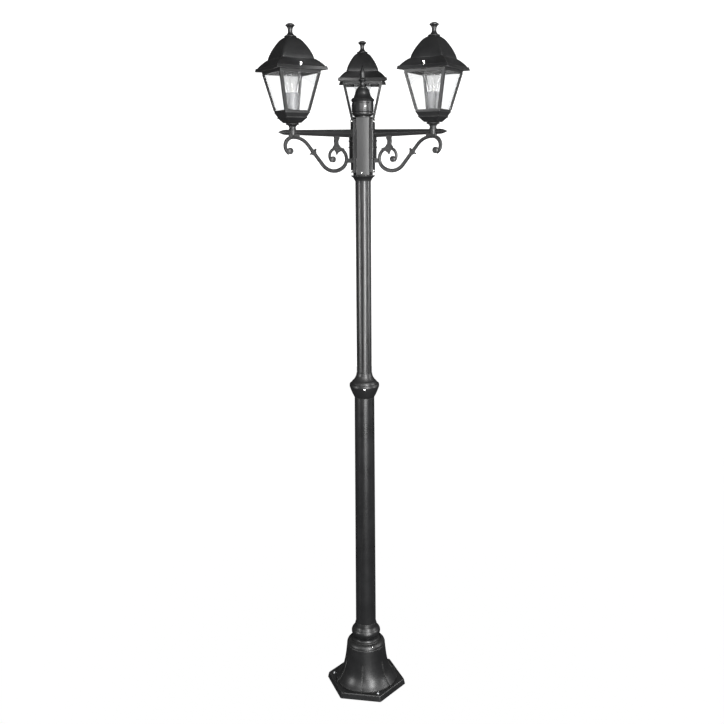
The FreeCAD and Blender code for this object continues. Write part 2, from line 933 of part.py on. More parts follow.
def make_hub():
    """The hub, with a flat face for each arm, the collar under it and the sleeve in it."""
    body = new_body("hub_body")
    section = sketch_on(body, "XY_Plane", "hub_section", rise=HUB_SEAT)
    groove = sketch_on(body, "XY_Plane", "hub_groove_section", rise=HUB_SEAT)
    spread = "asin(hub_mount_half / hub_corner_radius)"
    bulge = f"hub_corner_radius * cos(60 deg - {spread}) + hub_face_bulge"
    corners = []
    for heading in ARM_HEADINGS:
        for side in "-+":
            turn = f"(({heading}) * 1 deg {side} {spread})"
            corners.append((f"hub_corner_radius * cos{turn}", f"hub_corner_radius * sin{turn}"))
        free = f"(({heading} + 60) * 1 deg)"
        corners[-1] += (f"({bulge}) * cos{free}", f"({bulge}) * sin{free}")
    outline(section, corners)
    circle(section, "core_radius + clearance")
    padded(body, section, "hub_block", "hub_height")
    for corner in corners[:2]:
        circle(groove, "hub_groove_radius", corner[0], corner[1])
    cut = padded(body, groove, "hub_groove", "hub_height", pocket=True, flip=True)
    patterned(body, cut, "hub_grooves", "arm_count")

    holes = lead_holes("hub") + arm_screw_rods("hub", "arm_screw_radius + clearance", "0.3")
    holes += [
        hub_grub_rod(f"hub_grub_hole_{number}", "grub_radius + clearance", heading)
        for number, heading in enumerate(FREE_FACES)
    ]
    kept(drilled("hub", body, holes))
    screws = [
        hub_grub_rod(f"hub_grub_{number}", "grub_radius", heading)
        for number, heading in enumerate(FREE_FACES)
    ]
    kept(grouped("hub_set_screws", screws))

    seat, bore = f"{HUB_SEAT} - collar_height", "shaft_radius + clearance"
    shelf = f"{HUB_SEAT} - collar_lip_height"
    collar = [
        (bore, seat),
        ("collar_foot_radius", seat, "collar_bend_radius", f"({seat} + {shelf}) / 2 + 1"),
        ("collar_lip_radius - 1.5", shelf),
        (
            "collar_lip_radius",
            f"{shelf} + 1",
            "collar_lip_radius + 0.4",
            f"{shelf} + collar_lip_height / 2",
        ),
        ("collar_lip_radius - 0.6", HUB_SEAT),
        (bore, HUB_SEAT),
    ]
    kept(turned("hub_collar", collar))
    sleeve = [
        ("core_radius - core_wall", CORE_FOOT),
        ("core_radius", CORE_FOOT),
        ("core_radius", CORE_HEAD),
        ("core_radius - core_wall", CORE_HEAD),
    ]
    kept(drilled("hub_core", turned("core_body", sleeve), lead_holes("core")))


def lead_holes(name):
    """Rods in the place of the holes through which the leads run out to the arms."""
    rods = []
    for number, heading in enumerate(ARM_HEADINGS):
        label, reach = f"{name}_lead_hole_{number}", "core_radius / 2"
        rods.append(rod(label, "arm_wire_radius", ARM_LEVEL, "hub_corner_radius", reach, heading))
    return rods


def hub_grub_rod(name, radius, heading):
    """A rod in the place of one of the hub's set screws."""
    level, reach = f"{HUB_SEAT} + hub_grub_height", "core_radius + clearance"
    return rod(name, radius, level, "hub_grub_length", reach, heading, aside="-hub_grub_offset")


def arm_screw_rods(name, radius, longer):
    """Rods in the place of the shanks of the arms' screws, longer at the tip by longer."""
    rods = []
    for heading in ARM_HEADINGS:
        for level in arm_screw_levels():
            rods.append(
                rod(
                    f"{name}_arm_screw_{len(rods)}",
                    radius,
                    level,
                    f"arm_screw_bite + bracket_depth + {longer}",
                    f"{MOUNT_REACH} - arm_screw_bite - {longer}",
                    heading,
                )
            )
    return rods


def arm_screw_levels():
    """The heights of the two screws that hold each arm."""
    foot = f"{HUB_SEAT} + bracket_foot"
    return f"{foot} + arm_screw_inset", f"{foot} + bracket_height - arm_screw_inset"


def make_cap():
    """The cap that slides over the sleeve's end, its screws and its spire."""
    seat, inner = CAP_SEAT, "core_radius + slip"
    stud = "spire_stud_radius + clearance"
    cap = [
        (inner, seat),
        ("cap_foot_radius", seat),
        (
            "cap_foot_radius",
            f"{seat} + cap_foot_height",
            "cap_bulge_radius - 2",
            f"{seat} + (cap_foot_height + cap_bulge_height) / 2 - 1",
        ),
        ("cap_bulge_radius", f"{seat} + cap_bulge_height"),
        ("cap_bulge_radius", f"{seat} + cap_groove_height - 1.5"),
        ("cap_groove_radius", f"{seat} + cap_groove_height"),
        ("cap_band_radius", f"{seat} + cap_groove_height + 1.5"),
        ("cap_band_radius", f"{seat} + cap_band_height"),
        (
            "cap_lip_radius - 1",
            f"{seat} + cap_lip_height - 2",
            "cap_lip_radius",
            f"{seat} + cap_lip_height",
        ),
        (
            "cap_lip_radius - 1.4",
            f"{seat} + cap_lip_height + 2",
            "(cap_lip_radius + cap_bell_radius) / 2 - 2.6",
            f"{seat} + (cap_lip_height + cap_bell_height) / 2 - 1",
        ),
        (
            "cap_bell_radius",
            f"{seat} + cap_bell_height",
            "(cap_bell_radius + cap_top_radius) / 2",
            f"{seat} + (cap_bell_height + cap_height) / 2 + 1",
        ),
        ("cap_top_radius", f"{seat} + cap_height"),
        (stud, f"{seat} + cap_height"),
        (stud, f"{seat} + cap_height - cap_wall"),
        ("cap_top_radius - cap_wall", f"{seat} + cap_height - cap_wall"),
        ("cap_bell_radius - cap_wall", f"{seat} + cap_bell_height - 1"),
        ("cap_band_radius - cap_wall", f"{seat} + cap_band_height + 3"),
        ("cap_band_radius - cap_wall", f"{seat} + cap_guide_height + 7"),
        (inner, f"{seat} + cap_guide_height"),
    ]
    level = f"{seat} + cap_grub_height"
    wall = "cap_band_radius - cap_wall - 1"
    headings = thirds("cap_grub_turn")
    holes = [
        rod(f"cap_hole_{n}", "cap_grub_radius + clearance", level, "cap_lip_radius", wall, h)
        for n, h in enumerate(headings)
    ]
    kept(drilled("hub_cap", turned("cap_body", cap), holes))
    screws = [
        rod(f"cap_grub_{n}", "cap_grub_radius", level, "cap_band_radius - core_radius + 0.4", inner, h)
        for n, h in enumerate(headings)
    ]
    kept(grouped("hub_cap_screws", screws))

    seat = SPIRE_SEAT
    spire = [
        ("0", f"{seat} - spire_stud_length"),
        ("spire_stud_radius", f"{seat} - spire_stud_length"),
        ("spire_stud_radius", seat),
        ("cap_top_radius - 1.5", seat),
        (
            "cap_top_radius - 1.5",
            f"{seat} + 2.5",
            "spire_neck_radius + 1.6",
            f"{seat} + spire_neck_height / 2",
        ),
        (
            "spire_neck_radius",
            f"{seat} + spire_neck_height",
            "spire_neck_radius + 0.8",
            f"{seat} + (spire_neck_height + spire_ring_height) / 2",
        ),
        (
            "spire_ring_radius - 0.8",
            f"{seat} + spire_ring_height - 1.5",
            "spire_ring_radius",
            f"{seat} + spire_ring_height",
        ),
        ("spire_ring_radius - 1.2", f"{seat} + spire_ring_height + 1.8"),
        (
            "spire_waist_radius",
            f"{seat} + spire_waist_height",
            "spire_bud_radius",
            f"{seat} + spire_bud_height",
        ),
        ("spire_bud_radius / 2", f"{seat} + (spire_bud_height + spire_height) / 2"),
        ("0", f"{seat} + spire_height"),
    ]
    kept(turned("hub_cap_spire", spire))


# ---------------------------------------------------------------- arms


def strip_section(place, heading):
    """The face of the scroll's strip across its path, bevelled on all four edges."""
    along = Vector(math.cos(heading), 0, math.sin(heading))
    across = Vector(-along.z, 0, along.x)
    half, deep, bevel = size("scroll_width") / 2, size("scroll_depth") / 2, size("scroll_bevel")
    corners = []
    for out, side in ((1, 1), (-1, 1), (-1, -1), (1, -1)):
        ends = [(half - bevel, deep), (half, deep - bevel)]
        for wide, thick in ends if out * side < 0 else reversed(ends):
            corners.append(place + across * (out * wide) + Vector(0, side * thick, 0))
    return Part.Face(Part.makePolygon(corners + corners[:1])), along, across


def scroll_strip(steps, heading):
    """Walk a strip out from under the lantern. A step is (length,) for a straight and
    (radius, turn) for an arc, with turn above zero to the left. It ends in a button."""
    place = Vector(size("arm_reach"), 0, size(f"{BEAM_UNDERSIDE} - scroll_drop"))
    solids = []
    for step in steps:
        section, along, across = strip_section(place, heading)
        if len(step) == 1:
            solids.append(section.extrude(along * step[0]))
            place = place + along * step[0]
            continue
        radius, turn = step
        side = math.copysign(1, turn)
        centre = place + across * (side * radius)
        axis = Vector(0, -side, 0)
        solids.append(section.revolve(centre, axis, abs(turn)))
        place = centre + FreeCAD.Rotation(axis, abs(turn)).multVec(place - centre)
        heading += math.radians(turn)
    inward = Vector(-math.sin(heading), 0, math.cos(heading)) * side
    centre = place + inward * size("scroll_ball_radius - scroll_width / 8")
    round_, flat, deep = (size(f) for f in ("scroll_ball_radius", "scroll_ball_flat", "scroll_ball_half"))
    rim = [(0, -deep), (flat, -deep), (round_, flat - round_)]
    rim += [(out, -thick) for out, thick in reversed(rim)]
    corners = [centre + Vector(out, thick, 0) for out, thick in rim]
    button = Part.Face(Part.makePolygon(corners + corners[:1]))
    solids.append(button.revolve(centre, Vector(0, 1, 0), 360))
    return solids


def leaf(corners, half):
    """A flat plate of (reach, height) corners, centred on the arm's plane."""
    points = [Vector(across, -half, up) for across, up in corners]
    face = Part.Face(Part.makePolygon(points + points[:1]))
    return face.extrude(Vector(0, 2 * half, 0))


def scroll_shape():
    """The scroll under the beam, with its knot, its thorn and its stem."""
    names = ("arch", "bowl", "ring", "inner", "curl")
    radius = {name: size(f"scroll_{name}_radius") for name in names}
    turn = {name: size(f"scroll_{name}_turn") for name in names}
    long_way = [
        (size("scroll_lead"),),
        (radius["arch"], turn["arch"]),
        (size("scroll_straight"),),
        (radius["bowl"], -turn["bowl"]),
        (radius["ring"], -turn["ring"]),
        (radius["inner"], -turn["inner"]),
    ]
    solids = scroll_strip(long_way, math.pi)
    solids += scroll_strip([(radius["curl"], -turn["curl"])], 0)

    level = size(ARM_LEVEL)
    centre = Vector(size("arm_reach - scroll_lead"), 0, size(f"{BEAM_UNDERSIDE} - scroll_drop"))
    centre.z -= radius["arch"]
    down = math.pi + math.radians(turn["arch"])
    along = Vector(math.cos(down), 0, math.sin(down))
    across = Vector(-along.z, 0, along.x)
    knot = centre - across * radius["arch"] + along * size("scroll_knot_place")
    long, wide = size("scroll_knot_length") / 2, size("scroll_knot_width") / 2
    flank = ((-1, 0.36), (-0.3, 0.45), (-0.45, 1), (0.25, 0.6), (1, 0.36))
    points = flank + tuple((a, -b) for a, b in reversed(flank))
    corners = [knot + along * (a * long) + across * (b * wide) for a, b in points]
    solids.append(leaf([(c.x, c.z) for c in corners], size("scroll_depth") / 2 + 1))

    stem = [(-4.6, -8), (-5.4, -16), (-1.8, -25), (-3.4, -34), (-8, -41)]
    stem += [(9, -41), (5.4, -34), (7.4, -25), (4.6, -16), (7, -8)]
    reach = size("scroll_stem_reach")
    solids.append(leaf([(reach + a, level + b) for a, b in stem], size("scroll_depth") / 2))
    thorn = [(-14, -41), (12, -41), (8, -49), (4.6, -56), (1.6, -65), (-3.4, -56), (-9, -51)]
    solids.append(leaf([(reach + a, level + b) for a, b in thorn], size("scroll_depth") / 2 - 1))
    return solids[0].multiFuse(solids[1:]).removeSplitter()


def make_arms():
    """Three arms, each one casting: a bracket on the hub, a beam and a scroll."""
    scroll = scroll_shape()
    for name, heading in zip(ARM_NAMES, ARM_HEADINGS):
        beam = new_body(f"beam_{name}")
        stations = (
            (MOUNT_REACH, "beam_root_width", "beam_root_height", "1"),
            ("arm_reach - beam_seat", "beam_head_width", "beam_head_height", "1"),
            ("arm_reach + beam_straight", "beam_head_width", "beam_head_height", "1"),
            ("arm_reach + beam_straight + 10", "beam_head_width", "beam_head_height", "0.8"),
            ("arm_reach + beam_straight + 18", "beam_head_width", "beam_head_height", "0.45"),
            ("arm_reach + beam_point", "beam_head_width", "beam_head_height", "0.04"),
        )
        sections = []
        for number, (reach, width, height, share) in enumerate(stations):
            section = sketch_on(beam, "YZ_Plane", f"beam_{name}_section_{number}", rise=reach)
            wide, flat, tall = (f"{what} * {share} / 2" for what in (width, "beam_flat", height))
            corners = [
                (wide, ARM_LEVEL),
                (flat, f"{ARM_LEVEL} + {tall}"),
                (f"-{flat}", f"{ARM_LEVEL} + {tall}"),
                (f"-{wide}", ARM_LEVEL),
                (f"-{flat}", f"{ARM_LEVEL} - {tall}"),
                (flat, f"{ARM_LEVEL} - {tall}"),
            ]
            sections.append(outline(section, corners))
        lofted(beam, sections, f"beam_{name}_loft", ruled=True)

        foot = f"{HUB_SEAT} + bracket_foot"
        face = f"{MOUNT_REACH} + bracket_depth"
        saddle = f"{MOUNT_REACH} + saddle_depth"
        pad, pad_foot = "arm_reach - scroll_lead", f"{BEAM_UNDERSIDE} - scroll_drop - 2"
        boxes = {
            "bracket": (
                (MOUNT_REACH, "-bracket_width / 2", foot),
                (face, "bracket_width / 2", f"{foot} + bracket_height"),
            ),
            "saddle": (
                (MOUNT_REACH, "-saddle_width / 2", f"{foot} + saddle_foot"),
                (saddle, "saddle_width / 2", f"{foot} + saddle_foot + saddle_height"),
            ),
            "pad": (
                (f"{pad} - scroll_pad_length / 2", "-scroll_depth / 2", pad_foot),
                (f"{pad} + scroll_pad_length / 2", "scroll_depth / 2", ARM_LEVEL),
            ),
            "tie": (
                (MOUNT_REACH, "-scroll_depth / 2", f"{foot} + tie_foot"),
                (f"{saddle} + tie_length", "scroll_depth / 2", f"{foot} + tie_foot + tie_height"),
            ),
        }
        pieces = [beam, shaped(f"scroll_{name}", scroll)]
        pieces += [block(f"{part}_{name}", low, high) for part, (low, high) in boxes.items()]
        pieces.append(
            upright(f"seat_{name}", "stem_foot_radius", BEAM_UNDERSIDE, "beam_head_height", "arm_reach")
        )
        for number in range(2):
            label = f"bead_{name}_{number}"
            bead = upright(label, "bead_radius", "0", "saddle_width", saddle, "saddle_width / 2")
            bead.Placement.Rotation = FreeCAD.Rotation(Vector(1, 0, 0), 90)
            level = f"{ARM_LEVEL} - beam_root_height / 2 - bead_height - {number} * bead_pitch"
            pieces.append(bind(bead, Placement__Base__z=level))

        reach, width = f"{MOUNT_REACH} - 1", "bracket_depth + saddle_depth"
        holes = [
            rod(f"wire_way_{name}", "arm_wire_radius", ARM_LEVEL, f"arm_reach + 5 - ({reach})", reach),
            upright(f"stem_way_{name}", "nipple_radius + clearance", ARM_LEVEL, "stem_height", "arm_reach"),
        ]
        for number, level in enumerate(arm_screw_levels()):
            radius = "arm_screw_radius + clearance"
            holes.append(rod(f"screw_way_{name}_{number}", radius, level, width, reach))
        stand(kept(drilled(f"arm_{name}", joined(f"cast_{name}", pieces), holes)), "0", heading)

    screws = []
    reach = f"{MOUNT_REACH} + bracket_depth"
    for number, shank in enumerate(arm_screw_rods("shanks", "arm_screw_radius", "0")):
        heading, level = ARM_HEADINGS[number // 2], arm_screw_levels()[number % 2]
        size_of_head = ("arm_screw_head_radius", level, "arm_screw_head_height")
        head = rod(f"arm_screw_head_{number}", *size_of_head, reach, heading)
        screws.append(joined(f"arm_screw_{number}", [shank, head]))
    kept(grouped("arm_screws", screws))


# ---------------------------------------------------------------- lanterns


def make_stem(name, heading):
    """The turned stem between the arm and the lantern's pan."""
    seat, bore = LANTERN_SEAT, "nipple_radius + clearance"
    corners = [
        (bore, seat),
        ("stem_foot_radius", seat),
        (
            "stem_waist_radius",
            f"{seat} + stem_waist_height",
            "stem_waist_radius + 2",
            f"{seat} + (stem_waist_height + stem_lip_height) / 2 + 1",
        ),
        (
            "stem_lip_radius - 1.5",
            f"{seat} + stem_lip_height",
            "stem_lip_radius",
            f"{seat} + stem_lip_height + stem_lip_width / 2",
        ),
        ("stem_lip_radius - 1.5", f"{seat} + stem_lip_height + stem_lip_width"),
        ("stem_lip_radius - 3", f"{seat} + stem_height"),
        (bore, f"{seat} + stem_height"),
    ]
    stand(kept(turned(f"stem_{name}", corners)), "arm_reach", heading)


def make_cage(name, heading):
    """The lantern's cage: a stepped square pan and four posts between two rails."""
    tier, bead = f"{PAN_SEAT} + pan_tier_height", f"{PAN_SEAT} + pan_bead_height"
    band = f"{CAGE_SEAT} - cage_foot_band"
    window_foot, window_head = f"{CAGE_SEAT} + cage_foot_band", f"{ROOF_SEAT} - cage_rail"
    slope = "(cage_head_half - cage_foot_half) / cage_height"
    foot_half = f"cage_foot_half + {slope} * cage_foot_band - cage_post"
    head_half = f"cage_head_half - {slope} * cage_rail - cage_post"
    ear = ("-ear_width / 2", "cage_head_half - cage_wall / 2", f"{ROOF_SEAT} - ear_thickness")
    ear_end = ("ear_width / 2", "ear_reach", ROOF_SEAT)
    pieces = [
        square_frustum(f"pan_foot_{name}", PAN_SEAT, tier, "pan_foot_half", "pan_tier_half"),
        square_frustum(f"pan_bead_{name}", tier, bead, "pan_bead_half - 0.6", "pan_bead_half"),
        square_frustum(f"pan_tier_{name}", bead, band, "pan_bead_half - 1", "cage_foot_half - 1"),
        square_frustum(f"pan_band_{name}", band, CAGE_SEAT, "cage_foot_half", "cage_foot_half"),
        square_frustum(f"cage_walls_{name}", CAGE_SEAT, ROOF_SEAT, "cage_foot_half", "cage_head_half"),
        block(f"ear_{name}_0", ear, ear_end),
        block(
            f"ear_{name}_1",
            (ear[0], "-ear_reach", ear[2]),
            (ear_end[0], "-(cage_head_half - cage_wall / 2)", ear_end[2]),
        ),
    ]
    far = "cage_head_half * 1.5"
    holes = [
        square_frustum(
            f"pan_hollow_{name}", PAN_FLOOR, CAGE_SEAT, "pan_inner_half - pan_inner_slope", "pan_inner_half"
        ),
        square_frustum(
            f"cage_hollow_{name}",
            CAGE_SEAT,
            ROOF_SEAT,
            "cage_foot_half - cage_wall",
            "cage_head_half - cage_wall",
        ),
        frustum(
            f"windows_{name}_0",
            window_foot,
            window_head,
            (f"-{far}", far, foot_half),
            (f"-{far}", far, head_half),
        ),
        frustum(
            f"windows_{name}_1",
            window_foot,
            window_head,
            (f"-({foot_half})", foot_half, far),
            (f"-({head_half})", head_half, far),
        ),
        upright(f"pan_hole_{name}", "nipple_radius + clearance", PAN_SEAT, "pan_floor"),
    ]
    for number, along in enumerate(("thumb_reach", "-thumb_reach")):
        label = f"ear_hole_{name}_{number}"
        holes.append(upright(label, "thumb_hole_radius", ear[2], "ear_thickness", "0", along))
    stand(kept(drilled(f"cage_{name}", joined(f"cage_cast_{name}", pieces), holes)), "arm_reach", heading)


def make_glass(name, heading):
    """Four panes that lean on the inside of the cage's walls."""
    slope = "(cage_head_half - cage_foot_half) / cage_height"
    foot = "cage_foot_half - cage_wall - clearance"
    head = f"cage_foot_half + {slope} * (cage_height - glass_headroom) - cage_wall - clearance"
    inset = "glass_thickness + 0.5"
    panes = []
    for number in range(4):
        pane = frustum(
            f"pane_{name}_{number}",
            CAGE_SEAT,
            f"{ROOF_SEAT} - glass_headroom",
            (f"{foot} - glass_thickness", foot, f"{foot} - {inset}"),
            (f"{head} - glass_thickness", head, f"{head} - {inset}"),
        )
        panes.append(stand(grouped(f"pane_turned_{name}_{number}", [pane]), "0", f"{90 * number}"))
    stand(kept(grouped(f"glass_{name}", panes)), "arm_reach", heading)


def make_lamp(name, heading):
    """The lampholder on its nut, the sleeve round it, and the bulb."""
    seat = f"{PAN_FLOOR} + nut_height"
    rim = f"{seat} + holder_height"
    bore = "nipple_radius + clearance"
    holder = [
        (bore, seat),
        ("holder_foot_radius", seat),
        ("holder_foot_radius", f"{seat} + holder_foot_height"),
        ("holder_radius", f"{seat} + holder_foot_height + 3"),
        ("holder_radius", rim),
        ("holder_mouth", rim),
        ("holder_mouth", f"{rim} - holder_depth"),
        ("0", f"{rim} - holder_depth"),
        ("0", f"{seat} + holder_foot_height + 4"),
        ("lead_radius + 1", f"{seat} + holder_foot_height + 4"),
        ("lead_radius + 1", f"{seat} + nipple_above_floor - nut_height + 1"),
        (bore, f"{seat} + nipple_above_floor - nut_height + 1"),
    ]
    stand(kept(turned(f"lampholder_{name}", holder)), "arm_reach", heading)
    sleeve = [
        ("sleeve_radius - sleeve_wall", PAN_FLOOR),
        ("sleeve_radius", PAN_FLOOR),
        ("sleeve_radius", f"{PAN_FLOOR} + sleeve_height"),
        ("sleeve_radius - sleeve_wall", f"{PAN_FLOOR} + sleeve_height"),
    ]
    stand(kept(turned(f"sleeve_{name}", sleeve)), "arm_reach", heading)

    foot = f"{rim} - holder_depth + bulb_gap"
    neck = f"{foot} + bulb_cap_height + bulb_cap_flange"
    cap = [
        ("0", foot),
        ("bulb_cap_radius - 3", foot),
        ("bulb_cap_radius", f"{foot} + 3"),
        ("bulb_cap_radius", f"{foot} + bulb_cap_height"),
        ("bulb_neck_radius", f"{foot} + bulb_cap_height"),
        ("bulb_neck_radius", neck),
        ("0", neck),
    ]
    stand(kept(turned(f"bulb_cap_{name}", cap)), "arm_reach", heading)

    def shell(inset, neck_rise, corners):
        """One side of the glass, inset from its outside."""
        middle = f"{neck} + bulb_height - bulb_radius"
        round_ = f"bulb_radius - {inset}"
        return corners + [
            (
                f"bulb_neck_radius + 0.5 - {inset}",
                f"{neck} + {neck_rise}",
                f"(bulb_neck_radius + bulb_radius) / 2 - 1 - {inset}",
                f"{neck} + ({neck_rise} + bulb_height - bulb_radius) / 2",
            ),
            (round_, middle, f"({round_}) * cos(45 deg)", f"{middle} + ({round_}) * sin(45 deg)"),
            ("0", f"{middle} + {round_}"),
        ]

    outside = shell("0", "12", [("bulb_neck_radius", neck)])
    inside = shell("bulb_wall", "12", [("bulb_neck_radius - bulb_wall", neck)])
    stand(kept(turned(f"bulb_glass_{name}", outside + reversed_sides(inside))), "arm_reach", heading)


def reversed_sides(corners):
    """The same open chain of sides walked from its far end, with each bend kept."""
    back = []
    for number in range(len(corners) - 1, -1, -1):
        bend = corners[number - 1][2:] if number else ()
        back.append(tuple(corners[number][:2]) + tuple(bend))
    return back


def rounded_square(half):
    """A square outline about the axis with its corners bent round."""
    flat = f"({half}) - roof_corner * ({half}) / roof_cove_half"
    bend = f"({half}) - 0.293 * roof_corner * ({half}) / roof_cove_half"
    corners = []
    for x, y in ((1, -1), (1, 1), (-1, 1), (-1, -1)):
        before = (f"{x} * ({half})", f"{y} * ({flat})") if x == y else (f"{x} * ({flat})", f"{y} * ({half})")
        after = (f"{x} * ({flat})", f"{y} * ({half})") if x == y else (f"{x} * ({half})", f"{y} * ({flat})")
        corners += [before + (f"{x} * ({bend})", f"{y} * ({bend})"), after]
    return corners


def hollow_square(tip, half):
    """A square outline with sides that bow inward, to half, between their tips."""
    corners = []
    for x, y in ((1, -1), (1, 1), (-1, 1), (-1, -1)):
        middle = ("0", f"{y} * ({half})") if x == y else (f"{x} * ({half})", "0")
        corners.append((f"{x} * ({tip})", f"{y} * ({tip})") + middle)
    return corners


def make_roof(name, heading):
    """The lantern's roof: a bowed lip, a cove up to a crease and a domed square crown,
    hollow inside, with its two thumb screws, its knob and the knob's nut."""
    seat = ROOF_SEAT
    body = new_body(f"roof_body_{name}")

    def sections(label, levels, draw):
        """One sketch of the body at each level."""
        made = []
        for number, (rise, *halves) in enumerate(levels):
            sketch = sketch_on(body, "XY_Plane", f"{label}_{name}_{number}", rise=f"{seat} + {rise}")
            made.append(outline(sketch, draw(*halves)))
        return made

    lip = (
        ("0", "roof_tip_half", "roof_lip_half"),
        ("roof_lip_height", "roof_tip_half - roof_lip_draft", "roof_lip_half - roof_lip_draft"),
    )
    cove = (
        ("roof_lip_height", "roof_cove_foot_tip", "roof_cove_foot_half"),
        ("roof_cove_low_height", "roof_cove_low_tip", "roof_cove_low_half"),
        ("roof_cove_high_height", "roof_cove_high_tip", "roof_cove_high_half"),
        ("roof_cove_height", "roof_cove_tip", "roof_cove_half"),
    )
    dome = (
        ("roof_cove_height", "roof_cove_half - 1"),
        ("roof_low_height", "roof_low_half"),
        ("roof_mid_height", "roof_mid_half"),
        ("roof_high_height", "roof_high_half"),
        ("roof_crown_height", "roof_crown_half"),
        ("roof_height", "roof_peak_half"),
    )
    inside = (
        ("0", "roof_opening_half"),
        ("roof_lip_height", "roof_cove_foot_half - roof_wall"),
        ("roof_cove_low_height", "roof_cove_low_half - roof_wall"),
        ("roof_cove_high_height", "roof_cove_high_half - roof_wall"),
        ("roof_low_height", "roof_low_half - roof_wall"),
        ("roof_mid_height", "roof_mid_half - roof_wall"),
        ("roof_high_height", "roof_high_half - roof_wall"),
        ("roof_height - roof_top_wall", "roof_peak_half"),
    )
    lofted(body, sections("lip", lip, hollow_square), f"lip_{name}", ruled=True)
    lofted(body, sections("cove", cove, hollow_square), f"cove_{name}", ruled=True)
    lofted(body, sections("dome", dome, rounded_square), f"dome_{name}", ruled=True)
    lofted(body, sections("inside", inside, rounded_square), f"inside_{name}", ruled=True, cut=True)

    holes, screws = [], []
    for number, along in enumerate(("thumb_reach", "-thumb_reach")):
        label = f"{name}_{number}"
        rise = ("roof_lip_height", "0", along)
        holes.append(upright(f"roof_hole_{label}", "thumb_hole_radius", seat, *rise))
        knob = upright(f"thumb_knob_{label}", "thumb_knob_radius", LIP_TOP, "thumb_knob_height", "0", along)
        foot = f"{LIP_TOP} + thumb_knob_height - thumb_length"
        shank = upright(f"thumb_shank_{label}", "thumb_radius", foot, "thumb_length", "0", along)
        screws.append(joined(f"thumb_screw_{label}", [knob, shank]))
    stud_foot = f"{ROOF_TOP} - knob_stud_length"
    stud_hole = upright(f"stud_hole_{name}", "knob_stud_radius + clearance", stud_foot, "knob_stud_length")
    stand(kept(drilled(f"roof_{name}", body, holes + [stud_hole])), "arm_reach", heading)

    stand(kept(grouped(f"roof_screws_{name}", screws)), "arm_reach", heading)

    top = ROOF_TOP
    knob = [
        ("0", stud_foot),
        ("knob_stud_radius", stud_foot),
        ("knob_stud_radius", top),
        ("knob_disc_radius - 1", top),
        (
            "knob_disc_radius",
            f"{top} + 1.4",
            "knob_disc_radius - 1",
            f"{top} + knob_disc_height - 1.4",
        ),
        (
            "knob_disc_radius - 4",
            f"{top} + knob_disc_height",
            "knob_waist_radius + 1",
            f"{top} + (knob_disc_height + knob_waist_height) / 2 - 1",
        ),
        (
            "knob_waist_radius",
            f"{top} + knob_waist_height",
            "(knob_waist_radius + knob_radius) / 2 - 1.4",
            f"{top} + (knob_waist_height + knob_belt_height) / 2 + 1",
        ),
        ("knob_radius - 0.4", f"{top} + knob_belt_height - 1.6"),
        ("knob_radius", f"{top} + knob_belt_height"),
        ("knob_radius - 1.6", f"{top} + knob_belt_height + 1.8"),
        ("knob_radius / 2", f"{top} + knob_height - 1.2"),
        ("0", f"{top} + knob_height"),
    ]
    stand(kept(turned(f"roof_knob_{name}", knob)), "arm_reach", heading)
    ceiling = f"{top} - roof_top_wall"
    nut = drilled(
        f"roof_knob_nut_{name}",
        upright(f"nut_{name}", "knob_nut_radius", f"{ceiling} - knob_nut_height", "knob_nut_height"),
        [upright(f"nut_bore_{name}", "knob_stud_radius + clearance", stud_foot, "knob_stud_length")],
    )
    stand(kept(nut), "arm_reach", heading)


def make_lanterns():
    """The three lanterns and the nipples and nuts that hold them on the arms."""
    nipples, nuts = [], []
    length = "nipple_depth + stem_height + pan_floor + nipple_above_floor"
    foot = f"{LANTERN_SEAT} - nipple_depth"
    for name, heading in zip(ARM_NAMES, ARM_HEADINGS):
        make_stem(name, heading)
        make_cage(name, heading)
        make_glass(name, heading)
        make_lamp(name, heading)
        make_roof(name, heading)
        nipple = drilled(
            f"nipple_{name}",
            upright(f"nipple_rod_{name}", "nipple_radius", foot, length),
            [upright(f"nipple_bore_{name}", "nipple_bore", foot, length)],
        )
        nut = drilled(
            f"nipple_nut_{name}",
            upright(f"nut_blank_{name}", "nut_radius", PAN_FLOOR, "nut_height"),
            [upright(f"nut_hole_{name}", "nipple_radius + clearance", PAN_FLOOR, "nut_height")],
        )
        nipples.append(stand(nipple, "arm_reach", heading))
        nuts.append(stand(nut, "arm_reach", heading))
    kept(grouped("nipples", nipples))
    kept(grouped("nipple_nuts", nuts))


# ---------------------------------------------------------------- wiring


def swept(radius, sides):
    """A round lead along a chain of sides in the plane of x and height. A side is two
    (x, height) ends, or three points for an arc."""
    edges = []
    for side in sides:
        points = [Vector(x, 0, z) for x, z in side]
        edges.append((Part.Arc(*points) if len(points) == 3 else Part.LineSegment(*points)).toShape())
    start = edges[0].valueAt(edges[0].FirstParameter)
    along = edges[0].tangentAt(edges[0].FirstParameter)
    ring = Part.Wire(Part.makeCircle(radius, start, along))
    return Part.Wire(edges).makePipeShell([ring], True, False)


